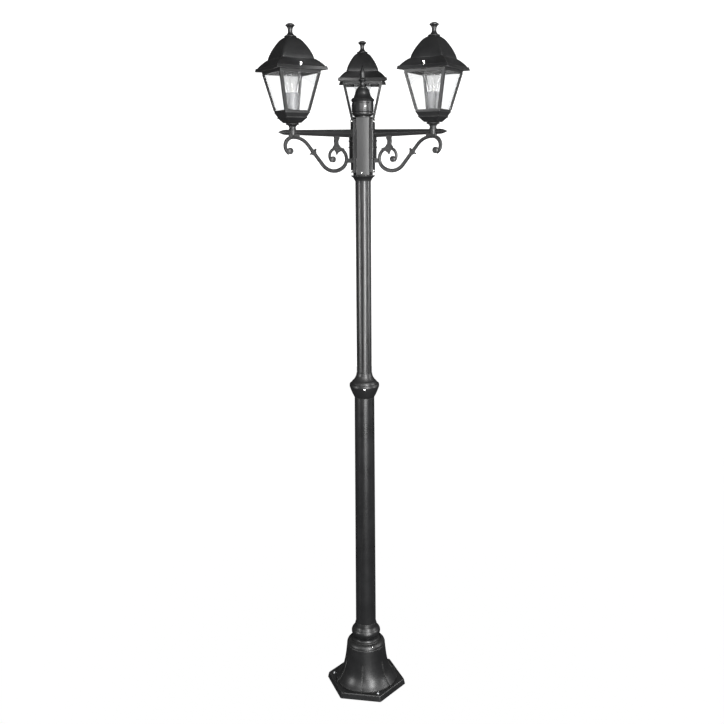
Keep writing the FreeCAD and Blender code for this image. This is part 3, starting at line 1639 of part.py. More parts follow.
def make_wiring():
    """The terminal plate and its block in the base, the lead up the column, and the
    joint block from which a lead runs out to each lantern."""
    mouth = f"{FOOT_SEAT} - socket_depth"
    half = "plate_strip_width / 2"
    back = "plate_strip_reach + plate_strip_thickness"
    strip_foot = f"{mouth} - plate_strip_length"
    strip = block("strip", ("plate_strip_reach", f"-{half}", strip_foot), (back, half, mouth))
    through = ("earth_height", "plate_strip_thickness", "plate_strip_reach")
    hole = rod("earth_hole", "earth_screw_radius + clearance", *through)
    kept(drilled("terminal_plate", strip, [hole]))
    block_top = f"{mouth} - block_drop + block_height"
    width = "block_width / 2"
    kept(
        block(
            "terminal_block",
            ("plate_strip_reach - block_depth", f"-{width}", f"{mouth} - block_drop"),
            ("plate_strip_reach", width, block_top),
        )
    )
    shank = rod("earth_shank", "earth_screw_radius", *through)
    reach = "plate_strip_reach - earth_head_height"
    head = rod("earth_head", "earth_head_radius", "earth_height", "earth_head_height", reach)
    kept(joined("earth_screw", [shank, head]))

    joint_foot = f"{CAP_SEAT} + joint_block_rise"
    bend, low = size("supply_bend"), size(f"{block_top}")
    offset = size("plate_strip_reach - block_depth / 2")
    turn = math.acos(1 - offset / (2 * bend))
    start = low + size("supply_rise")
    middle, finish = start + bend * math.sin(turn), start + 2 * bend * math.sin(turn)
    sides = [
        ((offset, low), (offset, start)),
        (
            (offset, start),
            (offset - bend * (1 - math.cos(turn / 2)), start + bend * math.sin(turn / 2)),
            (offset / 2, middle),
        ),
        (
            (offset / 2, middle),
            (bend * (1 - math.cos(turn / 2)), finish - bend * math.sin(turn / 2)),
            (0, finish),
        ),
        ((0, finish), (0, size(joint_foot))),
    ]
    kept(shaped("supply_lead", swept(size("supply_radius"), sides)))

    square = "joint_block_width / 2"
    kept(
        block(
            "joint_block",
            (f"-{square}", f"-{square}", joint_foot),
            (square, square, f"{joint_foot} + joint_block_height"),
        )
    )
    level, pitch, bend, rise = (size(f) for f in (ARM_LEVEL, "lead_pitch", "lead_bend", "lead_turn_up"))
    reach, top = size("arm_reach"), size(joint_foot)
    end = size(f"{PAN_FLOOR} + nipple_above_floor + lead_end")
    corner, tight = bend * (1 - math.sqrt(0.5)), rise * (1 - math.sqrt(0.5))
    sides = [
        ((pitch, top), (pitch, level + bend)),
        ((pitch, level + bend), (pitch + corner, level + corner), (pitch + bend, level)),
        ((pitch + bend, level), (reach - rise, level)),
        ((reach - rise, level), (reach - tight, level + tight), (reach, level + rise)),
        ((reach, level + rise), (reach, end)),
    ]
    lead = swept(size("lead_radius"), sides)
    leads = [
        stand(shaped(f"lamp_lead_{name}", lead), "0", heading)
        for name, heading in zip(ARM_NAMES, ARM_HEADINGS)
    ]
    kept(grouped("lamp_leads", leads))


# ---------------------------------------------------------------- the whole post


def write_parts():
    """Check every object and write each kept piece to its own file."""
    doc.recompute()
    faults = [piece.Name for piece in doc.Objects if {"Invalid", "Error"} & set(piece.State)]
    for piece in PARTS:
        if piece.Shape.isNull() or not piece.Shape.isValid() or not piece.Shape.Solids:
            faults.append(piece.Label)
    if faults:
        raise RuntimeError("faulty pieces: " + ", ".join(faults))
    os.makedirs("parts", exist_ok=True)
    for piece in PARTS:
        piece.Shape.exportStep(f"parts/{piece.Label}.step")


make_base()
make_column_foot()
make_lower_tube()
make_coupling()
make_upper_tube()
make_hub()
make_cap()
make_arms()
make_lanterns()
make_wiring()
write_parts()
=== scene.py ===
"""Dresses the three-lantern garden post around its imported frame.

Pieces are drawn in millimetres, with heights measured from the ground, and turned into
metres when their mesh is made. The post's axis is +Z and the rear arm points along +Y.
"""

import json
import logging
import math
from dataclasses import dataclass, field
from enum import Enum
from typing import Callable, Sequence

import bmesh
import bpy
from mathutils import Matrix, Vector


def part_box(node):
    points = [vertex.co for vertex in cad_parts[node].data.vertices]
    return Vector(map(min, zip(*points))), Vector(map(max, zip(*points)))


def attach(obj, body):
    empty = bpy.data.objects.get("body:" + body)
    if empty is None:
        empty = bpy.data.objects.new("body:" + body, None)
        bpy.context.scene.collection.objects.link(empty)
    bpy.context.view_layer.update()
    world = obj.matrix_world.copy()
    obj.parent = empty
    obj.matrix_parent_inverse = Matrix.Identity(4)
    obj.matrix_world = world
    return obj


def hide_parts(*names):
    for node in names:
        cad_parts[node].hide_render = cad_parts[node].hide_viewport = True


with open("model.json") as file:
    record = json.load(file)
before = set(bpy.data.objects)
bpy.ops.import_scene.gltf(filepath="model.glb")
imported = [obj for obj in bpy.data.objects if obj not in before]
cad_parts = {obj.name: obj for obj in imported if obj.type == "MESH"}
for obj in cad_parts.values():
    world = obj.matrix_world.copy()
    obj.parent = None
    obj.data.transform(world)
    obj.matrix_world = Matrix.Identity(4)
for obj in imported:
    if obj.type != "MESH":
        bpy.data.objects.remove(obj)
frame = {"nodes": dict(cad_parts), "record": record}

LOG = logging.getLogger("post")
MM = 0.001
WHITE = (1.0, 1.0, 1.0, 1.0)
POST = "post"
CAP_BODY = "hub_cap_top"
UP = Vector((0, 0, 1))
ACROSS = Vector((0, 1, 0))
TINY = 1e-6
Mesh = bmesh.types.BMesh
Piece = bpy.types.Object
Point = tuple[float, float]
Spot = tuple[float, float, float]
Corner = tuple[float, ...]


class Side(Enum):
    """The three arms, each with the heading that it points along, in degrees."""

    REAR = 90.0
    LEFT = 210.0
    RIGHT = 330.0

    @property
    def label(self) -> str:
        """The side's part of the names of its nodes."""
        return self.name.lower()


class Slot(Enum):
    """The record's material slots that new pieces take their finish from."""

    CASTING = "coated_casting"
    TUBE = "coated_tube"
    STEEL = "bright_steel"
    ZINC = "zinc_steel"
    PANE = "clear_glass"
    BULB = "bulb_glass"
    BULB_METAL = "bulb_metal"
    SLEEVE = "grey_sleeve"
    HOLDER = "holder"
    TERMINAL = "terminal_plastic"
    SHEATH = "cable_sheath"
    ALUMINIUM = "plain_aluminium"


# ------------------------------------------------------------------ outlines

SHARP_TURN = 24
EASE_SHARE = 0.45
EASE_STEPS = 4


def arc(start: Point, via: Point, end: Point, steps: int) -> list[Point]:
    """Points along the circle through three points.

    Args:
        start: First point.
        via: A point that the arc passes through.
        end: Last point.
        steps: How many stretches the arc is cut into.

    Returns:
        steps + 1 points, both ends among them.
    """
    (ax, ay), (bx, by), (cx, cy) = start, via, end
    divisor = 2 * (ax * (by - cy) + bx * (cy - ay) + cx * (ay - by))
    a2, b2, c2 = ax * ax + ay * ay, bx * bx + by * by, cx * cx + cy * cy
    ux = (a2 * (by - cy) + b2 * (cy - ay) + c2 * (ay - by)) / divisor
    uy = (a2 * (cx - bx) + b2 * (ax - cx) + c2 * (bx - ax)) / divisor
    radius = math.hypot(ax - ux, ay - uy)
    first, middle, last = (math.atan2(y - uy, x - ux) for x, y in (start, via, end))
    sweep = (last - first) % math.tau
    if (middle - first) % math.tau > sweep:
        sweep -= math.tau
    turns = [first + sweep * i / steps for i in range(steps + 1)]
    return [(ux + radius * math.cos(t), uy + radius * math.sin(t)) for t in turns]


def soften(points: Sequence[Point], ease: float, closed: bool) -> list[Point]:
    """Round off the sharp corners of a chain of points.

    Args:
        points: The chain.
        ease: How far from a corner its rounding starts.
        closed: Whether the last point joins the first.

    Returns:
        The chain with four short stretches in place of each sharp corner.
    """
    made: list[Point] = []
    count = len(points)
    for number, here in enumerate(points):
        if (not closed and number in (0, count - 1)) or abs(here[0]) < TINY:
            made.append(here)
            continue
        before, after = points[number - 1], points[(number + 1) % count]
        into = (here[0] - before[0], here[1] - before[1])
        out = (after[0] - here[0], after[1] - here[1])
        long_in, long_out = math.hypot(*into), math.hypot(*out)
        if long_in < TINY or long_out < TINY:
            continue
        cosine = (into[0] * out[0] + into[1] * out[1]) / long_in / long_out
        if cosine > math.cos(math.radians(SHARP_TURN)):
            made.append(here)
            continue
        cut = min(ease, EASE_SHARE * long_in, EASE_SHARE * long_out)
        a = (here[0] - into[0] / long_in * cut, here[1] - into[1] / long_in * cut)
        b = (here[0] + out[0] / long_out * cut, here[1] + out[1] / long_out * cut)
        for i in range(EASE_STEPS + 1):
            t = i / EASE_STEPS
            u = 1 - t
            made.append(tuple(u * u * p + 2 * u * t * q + t * t * r for p, q, r in zip(a, here, b)))
    return made


def trace(corners: Sequence[Corner], ease: float, closed: bool = True, steps: int = 14) -> list[Point]:
    """Turn corners into a dense outline with eased edges.

    Args:
        corners: (radius, height), and two more numbers where the side to the next
            corner bends through a point.
        ease: How far from a corner its rounding starts.
        closed: Whether the last corner joins the first.
        steps: How many stretches an arc is cut into.

    Returns:
        The outline's points.
    """
    points: list[Point] = []
    for number, corner in enumerate(corners):
        here = (corner[0], corner[1])
        if not closed and number == len(corners) - 1:
            points.append(here)
            break
        after = corners[(number + 1) % len(corners)]
        if len(corner) == 4:
            points += arc(here, (corner[2], corner[3]), (after[0], after[1]), steps)[:-1]
        else:
            points.append(here)
    return soften(points, ease, closed)


def circle_ring(radius: float, count: int = 96) -> list[Point]:
    """Points evenly round a circle."""
    turns = [math.tau * i / count for i in range(count)]
    return [(radius * math.cos(t), radius * math.sin(t)) for t in turns]


def square_ring(half: float, tip: float, corner: float, count: int = 12) -> list[Point]:
    """A square outline whose sides bow in between rounded tips.

    Args:
        half: Half the width across the middles of the sides.
        tip: Half the width across the tips.
        corner: Radius of the tips' rounding.
        count: Points along each side.

    Returns:
        Points once round, each side followed by its corner.
    """
    corner = min(corner, half * 0.9)
    reach = tip - corner
    side = []
    for i in range(count):
        t = -1 + 2 * i / (count - 1)
        side.append((half + (tip - half) * t * t, reach * t))
    bend = [math.radians(90 * i / 5) for i in range(1, 5)]
    turn = [(reach + corner * math.cos(a), reach + corner * math.sin(a)) for a in bend]
    ring: list[Point] = []
    for quarter in range(4):
        c, s = ((1, 0), (0, 1), (-1, 0), (0, -1))[quarter]
        ring += [(c * x - s * y, s * x + c * y) for x, y in side + turn]
    return ring


def round_inside(section: Sequence[Point], radius: float) -> list[Point]:
    """A point of a circle on the same bearing as each point of a section."""
    bearings = [math.atan2(y, x) for x, y in section]
    return [(radius * math.cos(a), radius * math.sin(a)) for a in bearings]


def spun(points: Sequence[Point], turn: float) -> list[Point]:
    """Points turned about the origin, by an angle in radians."""
    c, s = math.cos(turn), math.sin(turn)
    return [(x * c - y * s, x * s + y * c) for x, y in points]


# ------------------------------------------------------------------ meshes


def to_object(bm: Mesh, name: str, angle: float = 32) -> Piece:
    """Close a mesh in millimetres into an object in metres, with outward normals.

    Args:
        bm: The mesh, which is freed.
        name: The object's name.
        angle: Edges sharper than this many degrees stay sharp in shading.

    Returns:
        The object, linked to the scene.
    """
    bmesh.ops.remove_doubles(bm, verts=bm.verts, dist=1e-4)
    bmesh.ops.dissolve_degenerate(bm, edges=bm.edges, dist=1e-4)
    bmesh.ops.recalc_face_normals(bm, faces=bm.faces)
    bmesh.ops.scale(bm, vec=(MM, MM, MM), verts=bm.verts)
    mesh = bpy.data.meshes.new(name)
    bm.to_mesh(mesh)
    bm.free()
    mesh.shade_smooth()
    mesh.set_sharp_from_angle(angle=math.radians(angle))
    made = bpy.data.objects.new(name, mesh)
    bpy.context.scene.collection.objects.link(made)
    made.modifiers.new("face_weights", "WEIGHTED_NORMAL").keep_sharp = True
    return made


def skin(bm: Mesh, rings: Sequence[Sequence[Spot]], looped: bool = False) -> None:
    """Cover rings of equal count with quads, and close the ends unless looped.

    Args:
        bm: The mesh that the faces go into.
        rings: Rings of points in order. A ring of one point is a pole.
        looped: Whether the last ring joins the first.
    """
    made = [[bm.verts.new(p) for p in ring] for ring in rings]
    pairs = list(zip(made, made[1:])) + ([(made[-1], made[0])] if looped else [])
    for low, high in pairs:
        count = max(len(low), len(high))
        for i in range(count):
            j = (i + 1) % count
            corners = [low[i % len(low)], low[j % len(low)], high[j % len(high)], high[i % len(high)]]
            face = list(dict.fromkeys(corners))
            if len(face) > 2:
                bm.faces.new(face)
    if not looped:
        for ring in (made[0], made[-1]):
            if len(ring) > 2:
                bm.faces.new(ring)


def turned(bm: Mesh, outline: Sequence[Point], count: int = 96) -> None:
    """Turn an outline of (radius, height) points about the axis.

    Args:
        bm: The mesh that it goes into.
        outline: The points. One that starts and ends on the axis is closed by it, and
            any other closes on itself.
        count: Segments round the axis.
    """
    rings = []
    for radius, height in outline:
        ring = circle_ring(radius, count) if radius > TINY else [(0.0, 0.0)]
        rings.append([(x, y, height) for x, y in ring])
    skin(bm, rings, looped=min(outline[0][0], outline[-1][0]) > TINY)


def squared(bm: Mesh, outline: Sequence[Point], corner: float) -> None:
    """Carry an outline of (half width, height) points round a square.

    Args:
        bm: The mesh that it goes into.
        outline: The points, closed on themselves.
        corner: Radius of the square's corners.
    """
    rings = [[(x, y, height) for x, y in square_ring(half, half, corner)] for half, height in outline]
    skin(bm, rings, looped=True)


def boxed(bm: Mesh, low: Spot, high: Spot, ease: float = 0.8) -> None:
    """Add a box with eased edges between two corners.

    Args:
        bm: The mesh that it goes into.
        low: The corner with the lowest coordinates.
        high: The corner with the highest ones.
        ease: The width of the chamfer along its edges.
    """
    middle = [(a + b) / 2 for a, b in zip(low, high)]
    half = [(b - a) / 2 for a, b in zip(low, high)]
    ease = min(ease, min(half) * 0.4)
    rings = []
    for sign, inset in ((-1, ease), (-1, 0.0), (1, 0.0), (1, ease)):
        wide, deep = half[0] - inset, half[1] - inset
        z = middle[2] + sign * (half[2] - (ease - inset))
        quarter = [(wide, deep - ease), (wide - ease, deep)]
        ring = quarter + [(-x, y) for x, y in reversed(quarter)]
        ring += [(-x, -y) for x, y in ring]
        rings.append([(middle[0] + x, middle[1] + y, z) for x, y in ring])
    skin(bm, rings)


def pegged(
    bm: Mesh, start: Vector, along: Vector, outline: Sequence[Point], count: int = 36
) -> None:
    """Turn an outline of (radius, distance) points about a line.

    Args:
        bm: The mesh that it goes into.
        start: Where the line starts.
        along: The way it goes.
        outline: The points, which start and end on the line.
        count: Segments round the line.
    """
    turn = along.to_track_quat("Z", "Y").to_matrix()
    rings = []
    for radius, distance in outline:
        ring = circle_ring(radius, count) if radius > TINY else [(0.0, 0.0)]
        rings.append([tuple(start + turn @ Vector((x, y, distance))) for x, y in ring])
    skin(bm, rings)


def plate(
    bm: Mesh, corners: Sequence[Point], half: float, ease: float, heading: float = 0.0
) -> None:
    """Add a flat leaf that stands in the plane of a heading, eased along both faces.

    Args:
        bm: The mesh that it goes into.
        corners: (reach, height) points once round.
        half: Half its thickness.
        ease: How far the faces' edges are drawn in.
        heading: The plane's heading, in degrees.
    """
    centre = Vector((sum(p[0] for p in corners), sum(p[1] for p in corners))) / len(corners)
    small = []
    for x, z in corners:
        away = Vector((x, z)) - centre
        small.append(tuple(centre + away * (1 - ease / max(away.length, ease * 2))))
    turn = Matrix.Rotation(math.radians(heading), 3, "Z")
    rings = []
    for depth, ring in ((-half, small), (-half + ease, corners), (half - ease, corners), (half, small)):
        rings.append([tuple(turn @ Vector((x, depth, z))) for x, z in ring])
    skin(bm, rings)


def bored(bm: Mesh, holes: Callable[[Mesh], None]) -> Mesh:
    """Cut holes out of a closed mesh.

    Args:
        bm: The mesh, which is freed.
        holes: Draws the solids to take away into a mesh.

    Returns:
        The mesh with its holes.
    """
    cutter = bmesh.new()
    holes(cutter)
    pair = []
    for label, source in (("blank", bm), ("cutter", cutter)):
        bmesh.ops.remove_doubles(source, verts=source.verts, dist=1e-4)
        bmesh.ops.recalc_face_normals(source, faces=source.faces)
        mesh = bpy.data.meshes.new(label)
        source.to_mesh(mesh)
        source.free()
        pair.append(bpy.data.objects.new(label, mesh))
        bpy.context.scene.collection.objects.link(pair[-1])
    blank, tool = pair
    cut = blank.modifiers.new("holes", "BOOLEAN")
    cut.operation, cut.solver, cut.object = "DIFFERENCE", "EXACT", tool
    bpy.context.view_layer.update()
    result = bmesh.new()
    result.from_object(blank, bpy.context.evaluated_depsgraph_get())
    for used in pair:
        bpy.data.objects.remove(used)
    return result


def turning(
    name: str, base: float, corners: Sequence[Corner], ease: float,
    closed: bool = True, steps: int = 14, count: int = 128, holes: Callable[[Mesh], None] | None = None,
) -> Piece:
    """Turn a piece about the axis from the corners of its outline.

    Args:
        name: The piece's name.
        base: The height that the corners' heights are measured from.
        corners: The outline, as trace takes it.
        ease: How far from a corner its rounding starts.
        closed: Whether the last corner joins the first.
        steps: How many stretches an arc is cut into.
        count: Segments round the axis.
        holes: Draws the solids to take away, if there are any.

    Returns:
        The piece.
    """
    raised = [tuple(number + base * (i % 2) for i, number in enumerate(corner)) for corner in corners]
    bm = bmesh.new()
    turned(bm, trace(raised, ease, closed, steps), count)
    return to_object(bored(bm, holes) if holes else bm, name)


def blended(points: Sequence[Corner], steps: int) -> list[Corner]:
    """Draw a smooth run through points of two numbers or more.

    Args:
        points: The points that it goes through.
        steps: How many stretches lie between each pair of them.

    Returns:
        The run, both ends among it.
    """
    run: list[Corner] = []
    last = len(points) - 1
    for number in range(last):
        near = [points[min(max(number + i, 0), last)] for i in (-1, 0, 1, 2)]
        for i in range(steps):
            t = i / steps
            run.append(tuple(
                b + 0.5 * t * (c - a + t * (2 * a - 5 * b + 4 * c - d + t * (3 * (b - c) + d - a)))
                for a, b, c, d in zip(*near)
            ))
    return run + [tuple(points[-1])]


# ------------------------------------------------------------------ places in the frame


def low(node: str) -> float:
    """The height of a CAD node's lowest point, in millimetres."""
    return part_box(node)[0].z / MM


def top(node: str) -> float:
    """The height of a CAD node's highest point, in millimetres."""
    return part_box(node)[1].z / MM


def heading_of(turn: float) -> Vector:
    """The level direction of a turn in degrees."""
    return Vector((math.cos(math.radians(turn)), math.sin(math.radians(turn)), 0))


def axis_spot(heading: float, reach: float, height: float) -> Vector:
    """The spot at a reach along a heading and at a height."""
    return heading_of(heading) * reach + UP * height


SIXTH = math.pi / 3
THIRDS = (0, 120, 240)
FREE_FACES = (150, 270, 390)
GRUB_EASE = 0.35


# ------------------------------------------------------------------ shader groups


class Sketchpad:
    """Adds and joins nodes of one shader tree."""

    def __init__(self, tree: bpy.types.NodeTree) -> None:
        """Start on a tree."""
        self.tree = tree

    def add(self, kind: str, **values: object) -> bpy.types.Node:
        """Add a node and set its properties, or its inputs by name.

        Args:
            kind: The node's class, without its ShaderNode beginning.
            values: Properties, or inputs with underscores for spaces. A socket is
                joined, and anything else is set.

        Returns:
            The node.
        """
        node = self.tree.nodes.new("ShaderNode" + kind)
        self.fill(node, **values)
        return node

    def fill(self, node: bpy.types.Node, **values: object) -> None:
        """Set a node's properties, or its inputs by name.

        Args:
            node: The node.
            values: As add takes them, with i0, i1 and on for inputs by number.
        """
        for name, value in values.items():
            if hasattr(node, name):
                setattr(node, name, value)
            elif name[0] == "i" and name[1:].isdigit():
                self.put(node.inputs[int(name[1:])], value)
            else:
                self.put(node.inputs[name.replace("_", " ")], value)

    def put(self, socket: bpy.types.NodeSocket, value: object) -> None:
        """Join a socket to another, or set its number."""
        if isinstance(value, bpy.types.NodeSocket):
            self.tree.links.new(value, socket)
        else:
            socket.default_value = value

    def math(self, what: str, a: object, b: object = 0.0, clamp: bool = False) -> bpy.types.NodeSocket:
        """The result of one sum on two values or sockets."""
        return self.add("Math", operation=what, use_clamp=clamp, i0=a, i1=b).outputs[0]

    def spread(
        self, value: object, low: float, high: float, to_low: float = 0.0, to_high: float = 1.0
    ) -> bpy.types.NodeSocket:
        """A value mapped from one span to another and held within it."""
        node = self.add("MapRange", Value=value, From_Min=low, From_Max=high, To_Min=to_low, To_Max=to_high)
        return node.outputs[0]

    def blend(self, share: object, first: object, second: object) -> bpy.types.NodeSocket:
        """A colour between two, by a share."""
        return self.add("Mix", data_type="RGBA", i0=share, i6=first, i7=second).outputs[2]

    def place(self) -> bpy.types.NodeSocket:
        """Where a spot lies in its piece's own space, in metres."""
        return self.add("TexCoord").outputs["Object"]

    def noise(self, place: object, scale: object, detail: float, rough: float = 0.5) -> bpy.types.NodeSocket:
        """Noise at a place, from 0 to 1."""
        return self.add("TexNoise", Vector=place, Scale=scale, Detail=detail, Roughness=rough).outputs[0]

    def dent(self, shader: bpy.types.Node, height: object, strength: float, distance: float) -> None:
        """Bump a shader by a height."""
        bump = self.add("Bump", Strength=strength, Distance=distance, Height=height)
        self.fill(shader, Normal=bump.outputs[0])


def rgba(tone: Spot, share: float = 1.0) -> tuple[float, ...]:
    """A tone times a share, no brighter than white, as an opaque colour."""
    return tuple(min(1.0, c * share) for c in tone) + (1.0,)


def new_group(
    name: str, numbers: dict[str, float], outputs: Sequence[str]
) -> tuple[Sketchpad, dict[str, bpy.types.NodeSocket], bpy.types.Node]:
    """Start a shader node group with named numbers going in and out.

    Args:
        name: The group's name.
        numbers: Its inputs with their defaults.
        outputs: The names of its outputs.

    Returns:
        A sketchpad on it, its input sockets by name, and its output node.
    """
    tree = bpy.data.node_groups.new(name, "ShaderNodeTree")
    for label, number in numbers.items():
        socket = tree.interface.new_socket(label, in_out="INPUT", socket_type="NodeSocketFloat")
        socket.default_value = number
    for label in outputs:
        tree.interface.new_socket(label, in_out="OUTPUT", socket_type="NodeSocketFloat")
    inside = tree.nodes.new("NodeGroupInput")
    outside = tree.nodes.new("NodeGroupOutput")
    return Sketchpad(tree), {s.name: s for s in inside.outputs if s.name}, outside


class Effects:
    """The shared shader groups: powder grain, edge rub with painted edge highlights, settled dust and
    brushed lines.
    """

    def __init__(self) -> None:
        """Build each group once."""
        self.grain = self._grain()
        self.rub_and_highlight = self._rub_and_highlight()
        self.dust = self._dust()
        self.lines = self._lines()

    def _grain(self) -> bpy.types.NodeTree:
        """The pebbled skin of a powder coat over cast metal.

        Returns:
            A group with Height, Tone and Rough going out.
        """
        sizes = {"Grain Size": 0.9, "Cast Size": 7.0, "Cast Share": 0.35}
        pad, given, out = new_group("powder_grain", sizes, ("Height", "Tone", "Rough"))
        place = pad.place()
        pebble = pad.noise(place, pad.math("DIVIDE", 1 / MM, given["Grain Size"]), 2.0, 0.45)
        cast = pad.noise(place, pad.math("DIVIDE", 1 / MM, given["Cast Size"]), 4.0, 0.6)
        cloud = pad.noise(place, 14.0, 3.0, 0.55)
        height = pad.add("Mix", data_type="FLOAT", i0=given["Cast Share"], i2=pebble, i3=cast).outputs[0]
        rough = pad.math("ADD", pad.math("MULTIPLY", cast, 0.5), pad.math("MULTIPLY", cloud, 0.5))
        pad.fill(out, Height=height, Tone=pad.spread(cloud, 0.3, 0.7), Rough=rough)
        return pad.tree

    def _rub_and_highlight(self) -> bpy.types.NodeTree:
        """Where raised edges are rubbed, and where highlights along edges are painted on as a lighter
        colour.

        Returns:
            A group with Mask going out.
        """
        pad, given, out = new_group("edge_rub_and_highlight", {"Width": 0.8, "Amount": 0.5, "Breakup": 0.5}, ("Mask",))
        width = pad.math("MULTIPLY", given["Width"], MM)
        bent = pad.add("Bevel", samples=6, Radius=width).outputs[0]
        flat = pad.add("NewGeometry").outputs["Normal"]
        match = pad.add("VectorMath", operation="DOT_PRODUCT", i0=bent, i1=flat).outputs["Value"]
        edge = pad.spread(match, 0.995, 0.90)
        patchy = pad.spread(pad.noise(pad.place(), 90.0, 6.0, 0.7), 0.42, 0.62)
        kept = pad.math("MULTIPLY", patchy, given["Breakup"])
        kept = pad.math("ADD", kept, pad.math("SUBTRACT", 1.0, given["Breakup"]))
        mask = pad.math("MULTIPLY", pad.math("MULTIPLY", edge, kept), given["Amount"], clamp=True)
        pad.fill(out, Mask=mask)
        return pad.tree

    def _dust(self) -> bpy.types.NodeTree:
        """Fine dust on what faces up, and a little in runs down what doesn't.

        Returns:
            A group with Mask going out.
        """
        pad, given, out = new_group("settled_dust", {"Amount": 0.3, "Runs": 0.15}, ("Mask",))
        facing = pad.add("SeparateXYZ", Vector=pad.add("NewGeometry").outputs["Normal"]).outputs["Z"]
        up = pad.spread(facing, 0.25, 0.95)
        place = pad.place()
        patch = pad.spread(pad.noise(place, 38.0, 7.0, 0.65), 0.38, 0.7, 0.15, 1.0)
        tall = pad.add("Mapping", Vector=place, Scale=(120.0, 120.0, 6.0)).outputs[0]
        lying = pad.math("MULTIPLY", pad.math("MULTIPLY", up, patch), given["Amount"])
        hanging = pad.math("MULTIPLY", pad.spread(pad.noise(tall, 1.0, 3.0), 0.56, 0.8), given["Runs"])
        pad.fill(out, Mask=pad.math("ADD", lying, hanging, clamp=True))
        return pad.tree

    def _lines(self) -> bpy.types.NodeTree:
        """Fine lines of drawn or turned metal, stretched along or round the piece's axis.

        Returns:
            A group with Height and Rough going out.
        """
        sizes = {"Fineness": 2400.0, "Stretch": 0.02}
        pad, given, out = new_group("brushed_lines", sizes, ("Height", "Rough"))
        fine = given["Fineness"]
        upright = pad.math("MULTIPLY", fine, given["Stretch"])
        scale = pad.add("CombineXYZ", X=fine, Y=fine, Z=upright).outputs[0]
        drawn = pad.add("VectorMath", operation="MULTIPLY", i0=pad.place(), i1=scale).outputs[0]
        line = pad.noise(drawn, 1.0, 4.0, 0.7)
        pad.fill(out, Height=line, Rough=pad.spread(line, 0.3, 0.7))
        return pad.tree


# ------------------------------------------------------------------ finishes


def new_material(name: str) -> tuple[bpy.types.Material, Sketchpad, bpy.types.Node]:
    """A material with a Principled shader.

    Args:
        name: Its name.

    Returns:
        The material, a sketchpad on its tree, and the shader.
    """
    made = bpy.data.materials.new(name)
    made.use_nodes = True
    shader = next(n for n in made.node_tree.nodes if n.type == "BSDF_PRINCIPLED")
    return made, Sketchpad(made.node_tree), shader


@dataclass(frozen=True)
class CoatFinish:
    """Satin powder coat over metal, its edges painted lighter: partly rubbed wear, partly painted highlight.
    """

    name: str
    tone: Spot
    roughness: float = 0.38
    # The lighter tone along edges: partly rubbed wear, partly a painted highlight.
    edge_tone: Spot = (0.13, 0.129, 0.126)
    tone_dust: Spot = (0.14, 0.135, 0.125)
    sheen: float = 0.5
    grain: float = 0.9
    cast_share: float = 0.35
    bump: float = 0.10
    rub_and_highlight: float = 0.6
    rub_and_highlight_width: float = 0.9
    dust: float = 0.05
    runs: float = 0.02

    def make(self, effects: Effects) -> bpy.types.Material:
        """Build the material.

        Args:
            effects: The shared shader groups.

        Returns:
            The material.
        """
        made, pad, shader = new_material(self.name)
        grain = pad.add("Group", node_tree=effects.grain, Grain_Size=self.grain, Cast_Share=self.cast_share)
        rub_and_highlight = pad.add("Group", node_tree=effects.rub_and_highlight, Amount=self.rub_and_highlight, Width=self.rub_and_highlight_width)
        dust = pad.add("Group", node_tree=effects.dust, Amount=self.dust, Runs=self.runs)
        colour = pad.blend(grain.outputs["Tone"], rgba(self.tone, 0.82), rgba(self.tone, 1.22))
        # Edges take a lighter tone: partly rubbed wear, partly a painted highlight along each edge.
        colour = pad.blend(rub_and_highlight.outputs["Mask"], colour, rgba(self.edge_tone))
        colour = pad.blend(dust.outputs["Mask"], colour, rgba(self.tone_dust))
        rough = pad.spread(grain.outputs["Rough"], 0.3, 0.7, self.roughness - 0.05, self.roughness + 0.07)
        rough = pad.math("ADD", rough, pad.math("MULTIPLY", dust.outputs["Mask"], 0.5), clamp=True)
        pad.fill(shader, Base_Color=colour, Roughness=rough, Specular_IOR_Level=self.sheen)
        pad.dent(shader, grain.outputs["Height"], self.bump, 0.6 * MM)
        return made


@dataclass(frozen=True)
class MetalFinish:
    """Bare metal with fine lines."""

    name: str
    tone: Spot
    roughness: float = 0.24
    spread: float = 0.16
    fineness: float = 2400.0
    stretch: float = 0.02
    bump: float = 0.05
    rub_and_highlight: float = 0.35

    def make(self, effects: Effects) -> bpy.types.Material:
        """Build the material.

        Args:
            effects: The shared shader groups.

        Returns:
            The material.
        """
        made, pad, shader = new_material(self.name)
        lines = pad.add("Group", node_tree=effects.lines, Fineness=self.fineness, Stretch=self.stretch)
        grain = pad.add("Group", node_tree=effects.grain, Grain_Size=3.0)
        rub_and_highlight = pad.add("Group", node_tree=effects.rub_and_highlight, Amount=self.rub_and_highlight, Width=0.5)
        colour = pad.blend(grain.outputs["Tone"], rgba(self.tone, 0.8), rgba(self.tone))
        colour = pad.blend(rub_and_highlight.outputs["Mask"], colour, rgba(self.tone, 1.12))
        rough = pad.spread(lines.outputs["Rough"], 0.0, 1.0, self.roughness, self.roughness + self.spread)
        pad.fill(shader, Base_Color=colour, Roughness=rough, Metallic=1.0)
        pad.dent(shader, lines.outputs["Height"], self.bump, 0.3 * MM)
        return made


